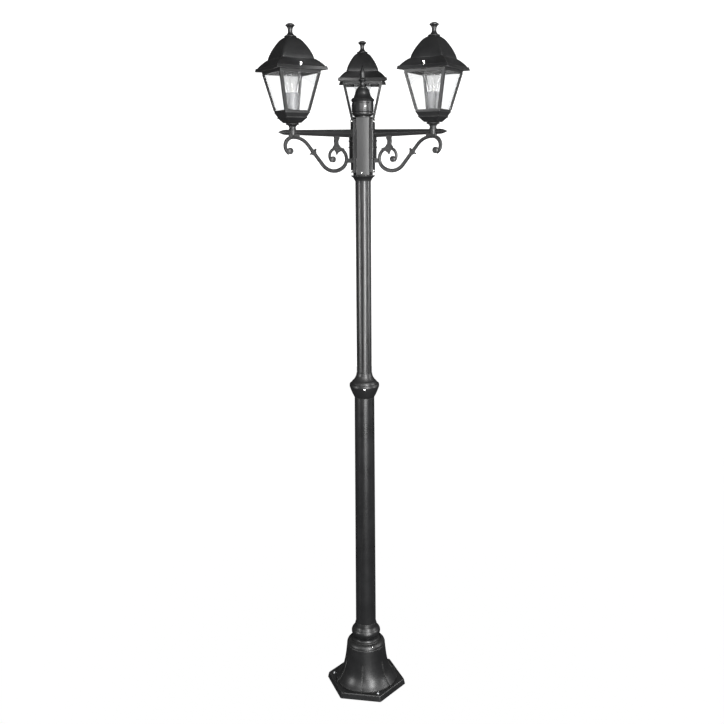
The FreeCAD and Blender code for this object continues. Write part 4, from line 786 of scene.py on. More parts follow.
@dataclass(frozen=True)
class MouldedFinish:
    """Moulded plastic, ceramic or rubber."""

    name: str
    tone: Spot
    roughness: float = 0.5
    grain: float = 0.6
    bump: float = 0.08
    rub_and_highlight: float = 0.2
    edge_tone: Spot = (0.6, 0.6, 0.6)
    coat: float = 0.0

    def make(self, effects: Effects) -> bpy.types.Material:
        """Build the material.

        Args:
            effects: The shared shader groups.

        Returns:
            The material.
        """
        made, pad, shader = new_material(self.name)
        grain = pad.add("Group", node_tree=effects.grain, Grain_Size=self.grain, Cast_Share=0.2)
        rub_and_highlight = pad.add("Group", node_tree=effects.rub_and_highlight, Amount=self.rub_and_highlight, Width=0.6)
        dust = pad.add("Group", node_tree=effects.dust, Amount=0.12, Runs=0.04)
        colour = pad.blend(grain.outputs["Tone"], rgba(self.tone, 0.9), rgba(self.tone, 1.06))
        colour = pad.blend(rub_and_highlight.outputs["Mask"], colour, rgba(self.edge_tone))
        rough = pad.spread(grain.outputs["Rough"], 0.3, 0.7, self.roughness - 0.04, self.roughness + 0.06)
        rough = pad.math("ADD", rough, dust.outputs["Mask"], clamp=True)
        pad.fill(shader, Base_Color=colour, Roughness=rough, Coat_Weight=self.coat)
        pad.dent(shader, grain.outputs["Height"], self.bump, 0.4 * MM)
        return made


@dataclass(frozen=True)
class GlassFinish:
    """Clear glass that casts little shadow."""

    name: str
    tone: Spot
    roughness: float = 0.02
    smear: float = 0.05
    clearness: float = 0.85
    index: float = 1.45

    def make(self, effects: Effects) -> bpy.types.Material:
        """Build the material.

        Args:
            effects: The shared shader groups.

        Returns:
            The material.
        """
        made, pad, shader = new_material(self.name)
        dust = pad.add("Group", node_tree=effects.dust, Amount=0.25, Runs=0.5)
        colour = pad.blend(dust.outputs["Mask"], rgba(self.tone), rgba(self.tone, 0.9))
        rough = pad.spread(dust.outputs["Mask"], 0.0, 0.5, self.roughness, self.roughness + self.smear)
        shadow = pad.add("LightPath").outputs["Is Shadow Ray"]
        alpha = pad.math("SUBTRACT", 1.0, pad.math("MULTIPLY", shadow, self.clearness))
        pad.fill(shader, Base_Color=colour, Roughness=rough, Alpha=alpha)
        pad.fill(shader, Transmission_Weight=1.0, IOR=self.index)
        return made


class Palette:
    """Every finish of the post, built once."""

    def __init__(self) -> None:
        """Build the materials."""
        effects = Effects()
        casting = (0.0052, 0.0053, 0.0056)
        tube = (0.0062, 0.0063, 0.0067)
        finishes = {
            Slot.CASTING: CoatFinish("satin_black_casting", casting),
            Slot.TUBE: CoatFinish("satin_black_tube", tube, 0.30, cast_share=0.12, grain=0.7, runs=0.03),
            Slot.STEEL: MetalFinish("bright_screw_steel", (0.80, 0.80, 0.79), roughness=0.16),
            Slot.ZINC: MetalFinish("zinc_plate", (0.62, 0.63, 0.64), roughness=0.3),
            Slot.ALUMINIUM: MetalFinish("drawn_aluminium", (0.70, 0.71, 0.72), roughness=0.28, stretch=0.01),
            Slot.BULB_METAL: MetalFinish("rolled_bulb_cap", (0.74, 0.73, 0.70), roughness=0.2),
            Slot.PANE: GlassFinish("clear_pane", (0.94, 0.943, 0.946)),
            Slot.BULB: GlassFinish("clear_bulb", (0.84, 0.84, 0.84), smear=0.02, index=1.52),
            Slot.SLEEVE: MouldedFinish("grey_sleeve_plastic", (0.078, 0.079, 0.081), roughness=0.5),
            Slot.HOLDER: MouldedFinish("glazed_holder", (0.74, 0.73, 0.70), roughness=0.3, coat=0.4),
            Slot.TERMINAL: MouldedFinish("pale_terminal", (0.72, 0.71, 0.68), roughness=0.48),
            Slot.SHEATH: MouldedFinish("black_sheath", (0.022,) * 3, roughness=0.6, edge_tone=(0.08,) * 3),
        }
        self.materials = {slot: finish.make(effects) for slot, finish in finishes.items()}

    def dress(self, piece: Piece, slot: Slot) -> None:
        """Give a piece the material of a slot in place of its own."""
        piece.data.materials.clear()
        piece.data.materials.append(self.materials[slot])


PALETTE = Palette()


def settle(piece: Piece, body: str, slot: Slot, *nodes: str) -> Piece:
    """Dress a new piece, let it ride on a body and let it stand for CAD nodes.

    Args:
        piece: The piece.
        body: The body that it moves with.
        slot: The slot that its finish comes from.
        nodes: The CAD nodes that it stands for.

    Returns:
        The piece.
    """
    PALETTE.dress(piece, slot)
    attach(piece, body)
    if nodes:
        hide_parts(*nodes)
    LOG.info("piece %s on %s, %d vertices", piece.name, body, len(piece.data.vertices))
    return piece


def stood(piece: Piece, reach: float, heading: float) -> Piece:
    """Move a piece that is drawn on the post's axis outward, and turn it the same way.

    Args:
        piece: The piece.
        reach: How far out it goes, in millimetres.
        heading: Its heading in degrees.

    Returns:
        The piece.
    """
    turn = math.radians(heading)
    there = Matrix.Translation((reach * MM * math.cos(turn), reach * MM * math.sin(turn), 0))
    piece.matrix_world = there @ Matrix.Rotation(turn, 4, "Z")
    return piece


def peg(radius: float, length: float) -> list[Point]:
    """The outline of a plain rod."""
    return [(0, 0), (radius, 0), (radius, length), (0, length)]


def socket_screw(bm: Mesh, head: Vector, inward: Vector, radius: float, length: float) -> None:
    """Add a set screw with a hexagon socket.

    Args:
        bm: The mesh that it goes into.
        head: The middle of its socketed end.
        inward: The way that its shank goes.
        radius: Its radius.
        length: Its length.
    """
    key, ease, count = radius * 0.52, GRUB_EASE * 1.4, 36
    frame_turn = inward.to_track_quat("Z", "Y").to_matrix()
    rings = []
    for reach, depth, six in (
        (radius, length, False), (radius, ease, False), (radius - ease, 0, False), (key * 1.12, 0, False),
        (key, GRUB_EASE * 0.5, True), (key, radius * 0.8, True),
    ):
        ring = []
        for i in range(count):
            a = math.tau * i / count
            r = reach / math.cos((a % SIXTH) - SIXTH / 2) * 0.94 if six else reach
            ring.append(tuple(head + frame_turn @ Vector((r * math.cos(a), r * math.sin(a), depth))))
        rings.append(ring)
    rings.append([tuple(head + inward * radius * 1.1)])
    skin(bm, rings)


def domed_screw(bm: Mesh, seat: Vector, outward: Vector, radius: float, height: float) -> None:
    """Add a domed screw head with a round socket, sunk a millimetre into its seat.

    Args:
        bm: The mesh that it goes into.
        seat: The middle of its seat.
        outward: The way that the head points.
        radius: The head's radius.
        height: The head's height.
    """
    key = radius * 0.45
    face = arc((radius, height * 0.35), (radius * 0.86, height * 0.82), (radius * 0.5, height), 8)
    outline = [(0.0, -1.0), (radius, -1.0), (radius, 0.0)] + face
    outline += [(key * 1.1, height), (key, height - 0.3), (key, height * 0.35), (0.0, height * 0.2)]
    pegged(bm, seat, outward, outline)


@dataclass(frozen=True)
class SetScrews:
    """Three set screws that point level at the post's axis, and the ways that they sit in."""

    name: str
    headings: Sequence[float]
    height: float
    radius: float
    length: float
    reach: float
    way_reach: float
    way_length: float
    aside: float = 0.0
    room: float = 0.2

    def spots(self, reach: float) -> list[tuple[Vector, Vector]]:
        """A spot on each screw's axis, at a reach from the post's axis, and the way in."""
        outs = [heading_of(heading) for heading in self.headings]
        return [(out * reach + UP.cross(out) * self.aside + UP * self.height, -out) for out in outs]

    def ways(self, bm: Mesh) -> None:
        """Draw the screws' ways."""
        for start, inward in self.spots(self.way_reach):
            pegged(bm, start, inward, peg(self.radius + self.room, self.way_length))

    def screws(self) -> Piece:
        """The screws as one piece."""
        bm = bmesh.new()
        for head, inward in self.spots(self.reach):
            socket_screw(bm, head, inward, self.radius, self.length)
        return to_object(bm, self.name)


# ------------------------------------------------------------------ base and column


@dataclass
class BaseCasting:
    """The six-sided plate, the petalled bell on it, the ribs between the petals and the screws."""

    turn: float = 20.4
    corner: float = 140.8
    slope: float = 4.4
    plate_height: float = 20.0
    bore: float = 84.0
    wall: float = 7.0
    petals: tuple[Corner, ...] = (
        (24, 106, 108), (38, 93, 95), (60, 81.5, 82.5), (100, 73, 73), (152, 66.8, 66.8),
    )
    rib_head: float = 104.0
    rib_reach: float = 4.6
    rib_half: float = 1.7
    first_screw: float = 30.0
    anchor_reach: float = 116.0
    boss: tuple[float, float] = (11.0, 13.2)
    grub_radius: float = 2.5
    grub_length: float = 17.0
    grub_tilt: float = 30.0
    grub_tip: tuple[float, float] = (47.35, -14.0)
    crown: float = field(default_factory=lambda: top("base_casting"))
    count: int = 240

    def six_fold(self, height: float, reach_at: Callable[[float], float], lead: float) -> list[Spot]:
        """One ring that repeats six times.

        Args:
            height: The ring's height.
            reach_at: The ring's reach, by the angle away from the middle of a sixth.
            lead: How far the whole ring is turned, in radians.

        Returns:
            The ring's points.
        """
        turns = [math.tau * i / self.count for i in range(self.count)]
        reaches = [reach_at(turn % SIXTH - SIXTH / 2) for turn in turns]
        return [(r * math.cos(t + lead), r * math.sin(t + lead), height) for r, t in zip(reaches, turns)]

    def hexagon(self, corner: float, height: float) -> list[Spot]:
        """One ring of the plate, with its corners just blunted."""
        flat, blunt = corner * math.cos(SIXTH / 2), corner - 0.7
        return self.six_fold(height, lambda away: min(flat / math.cos(away), blunt), SIXTH / 2)

    def petal(self, height: float, cusp: float, lobe: float) -> list[Spot]:
        """One ring of the bell: bowed sides that meet at cusps and swell to lobes.

        Args:
            height: The ring's height.
            cusp: The reach of the cusps.
            lobe: The reach of the lobes.

        Returns:
            The ring's points.
        """
        centre = (lobe * lobe - cusp * cusp) / (2 * (lobe - cusp * math.cos(SIXTH / 2)))
        radius = lobe - centre

        def reach_at(away: float) -> float:
            """The reach of the side's arc."""
            return centre * math.cos(away) + math.sqrt(radius**2 - (centre * math.sin(away)) ** 2)

        return self.six_fold(height, reach_at, 0.0)

    def round(self, radius: float, height: float) -> list[Spot]:
        """A round ring with the bell's count."""
        return [(x, y, height) for x, y in circle_ring(radius, self.count)]

    def plate_rings(self) -> list[list[Spot]]:
        """The hollow plate, with a bevel round its top."""
        outside, high = self.corner, self.plate_height
        rim, within, ceiling = outside - self.slope, outside - self.wall, high - self.wall
        outer = [(outside - 1.0, 0), (outside - 0.2, 0.9), (rim + 0.5, high - 2.4), (rim, high - 1.7)]
        rings = [self.hexagon(*level) for level in outer + [(rim - 1.8, high)]]
        rings += [self.round(self.bore, high), self.round(self.bore, ceiling)]
        return rings + [self.hexagon(within, ceiling), self.hexagon(within, 0)]

    def bell_rings(self) -> list[list[Spot]]:
        """The bell from its petals up to the mouth and back down inside."""
        _, cusp, lobe = self.petals[0]
        sunk, crown = self.plate_height - 1, self.crown
        foot = ((sunk, 2.5), (22.4, 2.5), (22.9, 1.3), (23.4, 0.3))
        rings = [self.petal(h, cusp - d, lobe - d) for h, d in foot]
        rings += [self.petal(*level) for level in blended(self.petals, 9)]
        levels = [(66.6, 152.4), (66.0, 153.2), (66.2, 154.0)]
        levels += arc((66.8, 154.6), (63.6, crown - 7.5), (53.9, crown - 0.1), 14)
        levels += [(52.6, crown), (52.2, crown - 0.6), (52.2, 164), (46, 164), (46, 115)]
        levels += [(54, 115), (54, 130)]
        levels += [(60.8, 130), (69.5, 92), (77, 47), (84, sunk)]
        return rings + [self.round(*level) for level in levels]

    def grub(self, heading: float, depth: float) -> tuple[Vector, Vector]:
        """A point on a set screw's axis.

        Args:
            heading: The screw's heading in degrees.
            depth: How far in from its outer end.

        Returns:
            The point and the way in.
        """
        tilt = math.radians(self.grub_tilt)
        inward = -heading_of(heading) * math.cos(tilt) - UP * math.sin(tilt)
        tip = axis_spot(heading, self.grub_tip[0], self.crown + self.grub_tip[1])
        return tip - inward * (self.grub_length - depth), inward

    def holes(self, bm: Mesh) -> None:
        """The set screws' ways through the shoulder, wide where they come out."""
        for third in THIRDS:
            start, inward = self.grub(self.first_screw + third, -8)
            pegged(bm, start, inward, [(0, 0), (4.4, 0), (4.4, 8.8), (2.75, 9.6), (2.75, 30), (0, 30)])

    def casting(self) -> Piece:
        """The plate, the bell and the ribs as one piece."""
        bell = bmesh.new()
        skin(bell, self.bell_rings(), looped=True)
        whole = bored(bell, self.holes)
        skin(whole, self.plate_rings(), looped=True)
        head = self.rib_head
        levels = [(h, cusp) for h, cusp, _ in blended(self.petals, 9) if h < head]
        ridge = [(cusp + self.rib_reach * (1 - h / head), h) for h, cusp in levels]
        ridge.insert(0, (ridge[0][0] + 0.4, self.plate_height - 0.5))
        fin = ridge + [(reach - 5, h) for reach, h in reversed(ridge)]
        for number in range(6):
            plate(whole, fin, self.rib_half, ease=0.9, heading=60 * number)
        for third in THIRDS:
            place = axis_spot(self.first_screw + third, self.anchor_reach, 0.2)
            pegged(whole, place, UP, peg(self.boss[0], self.boss[1] - 0.2), 40)
        return to_object(whole, "base_shell", angle=26)

    def screws(self) -> Piece:
        """The set screws in the shoulder."""
        bm = bmesh.new()
        for third in THIRDS:
            head, inward = self.grub(self.first_screw + third, 0.2)
            socket_screw(bm, head, inward, self.grub_radius, 16)
        return to_object(bm, "base_grubs")

    def anchors(self) -> Piece:
        """The heads of the anchors that hold the plate down."""
        bm = bmesh.new()
        for third in THIRDS:
            seat = axis_spot(self.first_screw + third, self.anchor_reach, self.plate_height)
            pegged(bm, seat, UP, [(0, -1), (5.6, -1), (5.6, 0.6), (5.2, 0.9), (0, 0.9)], 40)
            domed_screw(bm, seat + UP * 0.9, UP, 3.8, 2.4)
        return to_object(bm, "base_anchors")

    def build(self) -> None:
        """Make the base's pieces and turn them to the ribs' place."""
        for piece, slot, nodes in (
            (self.casting(), Slot.CASTING, ["base_casting"]),
            (self.screws(), Slot.STEEL, ["base_set_screws"]),
            (self.anchors(), Slot.ZINC, []),
        ):
            settle(stood(piece, 0, self.turn), POST, slot, *nodes)


@dataclass
class Column:
    """The turned foot, the plain lower tube, the coupling and the fluted upper tube."""

    seat: float = field(default_factory=lambda: top("base_casting") - 7)
    cup: float = field(default_factory=lambda: top("lower_tube"))
    skirt: float = field(default_factory=lambda: low("coupling_skirt"))
    tube_foot: float = field(default_factory=lambda: low("lower_tube"))
    shaft: tuple[float, float] = field(default_factory=lambda: (low("upper_tube"), top("upper_tube")))
    tube_bore: float = 35.0
    tube_radius: float = 34.9
    tube_wall: float = 2.5
    tube_straight: float = 116.0
    tube_taper: float = 2.3
    shaft_bore: float = 24.8
    shaft_radius: float = 24.7
    shaft_wall: float = 3.0
    flutes: int = 8
    flute_radius: float = 2.2
    flute_offset: float = 0.9

    def __post_init__(self) -> None:
        """Place the coupling's set screws."""
        self.grubs = SetScrews("coupling_grubs", FREE_FACES, self.cup + 36, 3, 24.6, 49.6, 55, 32.5)

    def foot(self) -> Piece:
        """The foot: a flange, a cove, a torus and a cone up to the tube."""
        bore = self.tube_bore
        return turning("foot_turning", self.seat, [
            (bore - 5, -49), (45.9, -49), (45.9, 0), (50.8, 0), (51.6, 2.5, 50.6, 5.5), (47.6, 8, 43, 13),
            (42.6, 17, 43.6, 21), (45.4, 24), (46, 25, 50.2, 37), (45.6, 49), (44.2, 50),
            (43.4, 51.5, 39.8, 57),
            (38.4, 62), (37.9, 63.5), (37.3, 66), (bore + 0.8, 72), (bore, 72), (bore, -43), (bore - 5, -43),
        ], 0.7)

    def lower_tube(self) -> Piece:
        """The lower tube, straight in its foot and then slightly tapered."""
        bottom, straight, head = self.tube_foot, self.tube_foot + self.tube_straight, self.cup
        radius, wall, taper = self.tube_radius, self.tube_wall, self.tube_taper
        outline = [(radius - wall, bottom), (radius, bottom), (radius, straight)]
        outline += [(radius - taper * i / 8, straight + (head - straight) * i / 8) for i in range(1, 9)]
        outline += [(radius - taper - wall, head), (radius - wall, straight)]
        bm = bmesh.new()
        turned(bm, outline, 128)
        return to_object(bm, "tapered_tube")

    def coupling(self) -> Piece:
        """The cup on the lower tube's head."""
        bore, spigot = self.shaft_bore, self.tube_radius - self.tube_taper - self.tube_wall - 0.1
        return turning("coupling_turning", self.cup, [
            (bore - 3.8, -40), (spigot, -40), (spigot, 0), (32.6, 0, 41.9, 19), (48.1, 35, 48.9, 38),
            (48.4, 43, 47.5, 47), (45.9, 48), (44.6, 48), (44.6, 42), (bore, 42), (bore, -12),
            (bore - 3.8, -12),
        ], 0.6, holes=self.grubs.ways)

    def skirt_piece(self) -> Piece:
        """The skirt that closes the cup."""
        bore = self.shaft_bore
        return turning("skirt_turning", self.skirt, [
            (bore, 0), (43.4, 0), (44.2, 3), (42.8, 7.5, 38.5, 14.5), (35.5, 17, 29.6, 26), (27, 32),
            (bore + 0.9, 40), (bore, 40),
        ], 0.7)

    def flute_ring(self) -> list[Point]:
        """The fluted tube's outline: grooves with rounded edges and the lands between them."""
        radius, groove, centre = self.shaft_radius, self.flute_radius, self.shaft_radius + self.flute_offset
        edge = math.acos((radius**2 + centre**2 - groove**2) / (2 * radius * centre))
        eased, pitch = edge * 1.12, math.tau / self.flutes
        land = pitch - 2 * eased
        ring = []
        for flute in range(self.flutes):
            middle = pitch * (flute + 0.5)
            for i in range(13):
                away = edge * (-1 + i / 6) * 0.985
                reach = centre * math.cos(away) - math.sqrt(groove**2 - (centre * math.sin(away)) ** 2)
                ring.append((min(reach, radius - 0.12), middle + away))
            ring += [(radius, middle + eased + land * i / 8) for i in range(9)]
        return [(r * math.cos(a), r * math.sin(a)) for r, a in ring]

    def upper_tube(self) -> Piece:
        """The fluted upper tube."""
        bottom, head = self.shaft
        section = self.flute_ring()
        rings = [[(x, y, bottom + (head - bottom) * i / 6) for x, y in section] for i in range(7)]
        bore = round_inside(section, self.shaft_radius - self.shaft_wall)
        rings += [[(x, y, height) for x, y in bore] for height in (head, bottom)]
        bm = bmesh.new()
        skin(bm, rings, looped=True)
        return to_object(bm, "fluted_tube", angle=40)

    def build(self) -> None:
        """Make the column's pieces."""
        for piece, slot, node in (
            (self.foot(), Slot.CASTING, "column_foot"),
            (self.lower_tube(), Slot.TUBE, "lower_tube"),
            (self.coupling(), Slot.CASTING, "coupling_cup"),
            (self.grubs.screws(), Slot.STEEL, "coupling_set_screws"),
            (self.skirt_piece(), Slot.CASTING, "coupling_skirt"),
            (self.upper_tube(), Slot.TUBE, "upper_tube"),
        ):
            settle(piece, POST, slot, node)


# ------------------------------------------------------------------ hub and cap


@dataclass
class Hub:
    """The hub with its three mount faces, its collar, its cap and the cap's spire."""

    foot: float = field(default_factory=lambda: low("hub"))
    head: float = field(default_factory=lambda: top("hub"))
    spire_seat: float = field(default_factory=lambda: top("hub_cap"))
    bore: float = 21.7
    corner: float = 31.1
    mount_half: float = 11.5
    bulge: float = 1.8
    groove: float = 1.3
    groove_gap: float = 0.045
    shaft_bore: float = 24.8
    edge: float = 0.9
    cap_first: float = 285.0

    def __post_init__(self) -> None:
        """Place the set screws of the hub and of its cap."""
        self.grubs = SetScrews("hub_grubs", FREE_FACES, self.foot + 8, 3, 5.6, 27.3, 42, 24, aside=-4)
        headings = [self.cap_first + third for third in THIRDS]
        self.cap_grubs = SetScrews("cap_grubs", headings, self.head + 32, 2.5, 10.2, 32.4, 40, 17)

    def section(self) -> list[Point]:
        """The hub's outline: a flat face for each arm and a bowed one between each pair."""
        spread, corner, third = math.asin(self.mount_half / self.corner), self.corner, 2 * SIXTH
        flat = corner * math.cos(spread)
        bowed = corner * math.cos(SIXTH - spread) + self.bulge
        face = [(flat, self.mount_half * (-0.9 + 1.8 * i / 8)) for i in range(9)]
        sweep = [math.radians(268 - 126 * i / 6) for i in range(7)]
        dips = [(self.groove * math.cos(turn), self.groove * math.sin(turn)) for turn in sweep]
        notch = [(flat + x, self.mount_half + y) for x, y in dips]
        ends = [spread + self.groove_gap, third - spread - self.groove_gap]
        first, last = [(corner * math.cos(a), corner * math.sin(a)) for a in ends]
        bow = arc(first, (bowed * math.cos(SIXTH), bowed * math.sin(SIXTH)), last, 14)
        after = spun([(x, -y) for x, y in reversed(notch)], third)
        ring: list[Point] = []
        for side in Side:
            ring += spun(face + notch + bow + after, math.radians(side.value))
        return ring

    def block(self) -> Piece:
        """The hub itself."""
        section, edge = self.section(), self.edge
        rings = []
        foot, head = self.foot, self.head
        for inset, height in ((edge, foot), (0, foot + edge), (0, head - edge), (edge, head)):
            share = 1 - inset / self.corner
            rings.append([(x * share, y * share, height) for x, y in section])
        bore = round_inside(section, self.bore)
        rings += [[(x, y, height) for x, y in bore] for height in (self.head, self.foot)]
        bm = bmesh.new()
        skin(bm, rings, looped=True)
        return to_object(bored(bm, self.grubs.ways), "hub_block", angle=26)

    def collar(self) -> Piece:
        """The collar under the hub."""
        bore = self.shaft_bore
        return turning("collar_turning", self.foot - 18, [
            (bore, 0), (25.8, 0, 29.5, 8), (35.8, 14), (37.3, 15, 37.7, 16), (36.7, 18), (bore, 18),
        ], 0.5)

    def cap(self) -> Piece:
        """The cap: a bulged foot, a groove, a band, a lip and a bell."""
        inner, stud = 22.0, 4.1
        return turning("cap_turning", self.head, [
            (inner, 0), (24.2, 0), (24.4, 3, 30.2, 6.5), (32.6, 11), (32.6, 14), (31.2, 15.6), (33.6, 17.4),
            (33.6, 20), (33.1, 20.8), (33.6, 21.6), (33.6, 42), (32.9, 43), (33.6, 44), (33.8, 47, 35.8, 50),
            (37.2, 51.6), (35.9, 54, 28.2, 60.4), (23.4, 70, 20.8, 79), (17.2, 86), (stud, 86), (stud, 82.8),
            (13.1, 82.8), (18.3, 69), (28.9, 50), (28.9, 20), (inner, 13),
        ], 0.6, holes=self.cap_grubs.ways)

    def spire(self) -> Piece:
        """The turned spire on the cap."""
        return turning("spire_turning", self.spire_seat, [
            (0, -9), (4, -9), (4, 0), (14.8, 0), (14.8, 2.5, 9.3, 6.5), (7.7, 13, 8.5, 18.5),
            (11.8, 22.5, 12.6, 24), (11.4, 25.8), (6.6, 30, 8.2, 44), (4.1, 57.5), (0, 71),
        ], 0.6, closed=False, steps=16, count=96)

    def build(self) -> None:
        """Make the hub's and the cap's pieces."""
        for piece, body, slot, node in (
            (self.block(), POST, Slot.CASTING, "hub"),
            (self.grubs.screws(), POST, Slot.STEEL, "hub_set_screws"),
            (self.collar(), POST, Slot.CASTING, "hub_collar"),
            (self.cap(), CAP_BODY, Slot.CASTING, "hub_cap"),
            (self.cap_grubs.screws(), CAP_BODY, Slot.STEEL, "hub_cap_screws"),
            (self.spire(), CAP_BODY, Slot.CASTING, "hub_cap_spire"),
        ):
            settle(piece, body, slot, node)


# ------------------------------------------------------------------ arms


Step = tuple[float, ...]
Station = tuple[float, float, float]


def walk(place: Point, heading: float, steps: Sequence[Step], pitch: float = 2.5) -> list[Station]:
    """Stations along a path of straights and arcs.

    Args:
        place: Where the path starts, as (reach, height).
        heading: Its first heading, in radians from the reach axis.
        steps: (length,) for a straight and (radius, turn) for an arc, with the turn in
            degrees and above zero to the left.
        pitch: The stations' spacing.

    Returns:
        Each station's reach, height and heading.
    """
    x, z = place
    stations = [(x, z, heading)]
    for step in steps:
        length = step[0] if len(step) == 1 else step[0] * math.radians(abs(step[1]))
        count = max(2, math.ceil(length / pitch))
        for _ in range(count):
            if len(step) == 1:
                x, z = x + math.cos(heading) * length / count, z + math.sin(heading) * length / count
            else:
                side = math.copysign(step[0], step[1])
                centre = x - math.sin(heading) * side, z + math.cos(heading) * side
                heading += math.radians(step[1]) / count
                x, z = centre[0] + math.sin(heading) * side, centre[1] - math.cos(heading) * side
            stations.append((x, z, heading))
    return stations


def width_at(share: float, widths: Sequence[Point]) -> float:
    """A width between given ones, eased from one to the next.

    Args:
        share: How far along the strip, from 0 to 1.
        widths: (share, width) pairs in order.

    Returns:
        The width there.
    """
    for (a, low_width), (b, high_width) in zip(widths, widths[1:]):
        if share <= b:
            t = (share - a) / (b - a)
            return low_width + (high_width - low_width) * t * t * (3 - 2 * t)
    return widths[-1][1]


@dataclass
class Arm:
    """One cast arm: a bracket on the hub, a beam with a pointed end and a scroll under it."""

    side: Side
    hub_foot: float = field(default_factory=lambda: low("hub"))
    seat: float = 28.9
    reach: float = 240.0
    rise: float = 126.0
    beam_half: float = 7.75
    drop: float = 6.4
    depth: float = 4.0
    bevel: float = 1.8
    knot: float = 29.0
    button_radius: float = 9.0
    stem_reach: float = 92.0
    saddle_half: float = 13.0
    scroll_steps: tuple[Step, ...] = ((5,), (58.2, 50), (77.6,), (50.3, -89), (32, -170), (22, -106))
    scroll_widths: tuple[Point, ...] = (
        (0, 9.6), (0.16, 9.8), (0.40, 10.8), (0.56, 11.6), (0.70, 10.0), (0.86, 8.4), (1, 7.4),
    )
    curl_step: Step = (25, -148)
    curl_widths: tuple[Point, ...] = ((0, 9.6), (0.35, 11.2), (1, 9.4))

    @property
    def level(self) -> float:
        """The height of the beam's axis."""
        return self.hub_foot + self.rise

    def strip(self, bm: Mesh, stations: Sequence[Station], widths: Sequence[Point]) -> None:
        """Carry the strip's eased section along stations.

        Args:
            bm: The mesh that it goes into.
            stations: The stations of its middle line.
            widths: Its widths, as width_at takes them.
        """
        rings = []
        for number, (x, z, heading) in enumerate(stations):
            half = width_at(number / (len(stations) - 1), widths) / 2
            cut = min(self.bevel, half * 0.5)
            quarter = [(half, self.depth - cut), (half - cut, self.depth)]
            outline = quarter + [(-a, b) for a, b in reversed(quarter)]
            outline += [(-a, -b) for a, b in outline]
            ring = soften(outline, 0.4, closed=True)
            rings.append([(x - math.sin(heading) * a, b, z + math.cos(heading) * a) for a, b in ring])
        skin(bm, rings)

    def button(self, bm: Mesh, end: Station, radius: float) -> None:
        """A domed button that the strip's end rolls round, on its right-hand side.

        Args:
            bm: The mesh that it goes into.
            end: The strip's last station.
            radius: The button's radius.
        """
        x, z, heading = end
        inset = radius - 1.2
        centre = Vector((x + math.sin(heading) * inset, 0, z - math.cos(heading) * inset))
        face = [(0.0, 5.9)] + arc((radius * 0.3, 5.8), (radius * 0.62, 5.1), (radius * 0.8, 4.0), 6)
        face += arc((radius * 0.9, 4.3), (radius, 3.2), (radius, 2.2), 6)
        outline = [(r, -d) for r, d in face] + list(reversed(face))
        pegged(bm, centre, ACROSS, outline, 56)

    def scroll(self, bm: Mesh) -> None:
        """The scroll: a long way down to the hub's side and a small curl outward.

        Args:
            bm: The mesh that it goes into.
        """
        start = (self.reach, self.level - self.beam_half - self.drop)
        stations = walk(start, math.pi, self.scroll_steps)
        self.strip(bm, stations, self.scroll_widths)
        self.button(bm, stations[-1], self.button_radius)
        curl = walk(start, 0, [self.curl_step])
        self.strip(bm, curl, self.curl_widths)
        self.button(bm, curl[-1], self.button_radius + 0.4)
        self.band(bm, walk(start, math.pi, self.scroll_steps[:2] + ((self.knot,),))[-1])

    def band(self, bm: Mesh, place: Station) -> None:
        """The knot across the strip: two drawn-in points and a raised middle.

        Args:
            bm: The mesh that it goes into.
            place: The station of the strip that it sits on.
        """
        x, z, heading = place
        along = Vector((math.cos(heading), math.sin(heading)))
        across = Vector((-along.y, along.x))
        flank = [(-1, 0.36), (-0.36, 0.45), (-0.5, 1), (-0.2, 1.04), (0.28, 0.62), (1, 0.36)]
        flank += [(a, -b) for a, b in reversed(flank)]
        corners = [Vector((x, z)) + along * (a * 8.5) + across * (b * 12.5) for a, b in flank]
        plate(bm, [tuple(c) for c in corners], self.depth + 1, ease=1.3)

    def stem_leaf(self, bm: Mesh) -> None:
        """The waisted stem between the beam and the scroll, and the thorn that hangs from it.

        Args:
            bm: The mesh that they go into.
        """
        stem = [(-8.4, -7), (-8.6, -15), (-4.6, -24), (-5.6, -33), (-14, -43)]
        stem += [(14, -43), (7.4, -34), (8.8, -25), (7.6, -15), (9.6, -7)]
        thorn = [(-27, -46), (-12, -41), (13, -41), (8, -49), (3.6, -56), (0.6, -65)]
        thorn += [(-4, -58), (-12, -54), (-21, -53)]
        for outline, half in ((stem, self.depth), (thorn, self.depth - 1)):
            eased = soften(outline, 1.6, closed=True)
            plate(bm, [(self.stem_reach + a, self.level + b) for a, b in eased], half, ease=0.8)

    def beam(self, bm: Mesh) -> None:
        """The six-sided beam, which thins towards its pointed end.

        Args:
            bm: The mesh that it goes into.
        """
        root, head = (25, 17), (15.5, 14)
        stations = [(self.seat, root, 1), (self.reach - 18, head, 1)]
        point = ((22, 1), (32, 0.8), (40, 0.45), (47, 0.04))
        stations += [(self.reach + out, head, share) for out, share in point]
        rings = []
        for reach, (height, width), share in stations:
            wide, flat, tall = width * share / 2, 3 * share, height * share / 2
            half_ring = [(wide, 0), (flat, tall), (-flat, tall)]
            corners = half_ring + [(-a, -b) for a, b in half_ring]
            rings.append([(reach, a, self.level + b) for a, b in soften(corners, 0.9 * share, closed=True)])
        skin(bm, rings)

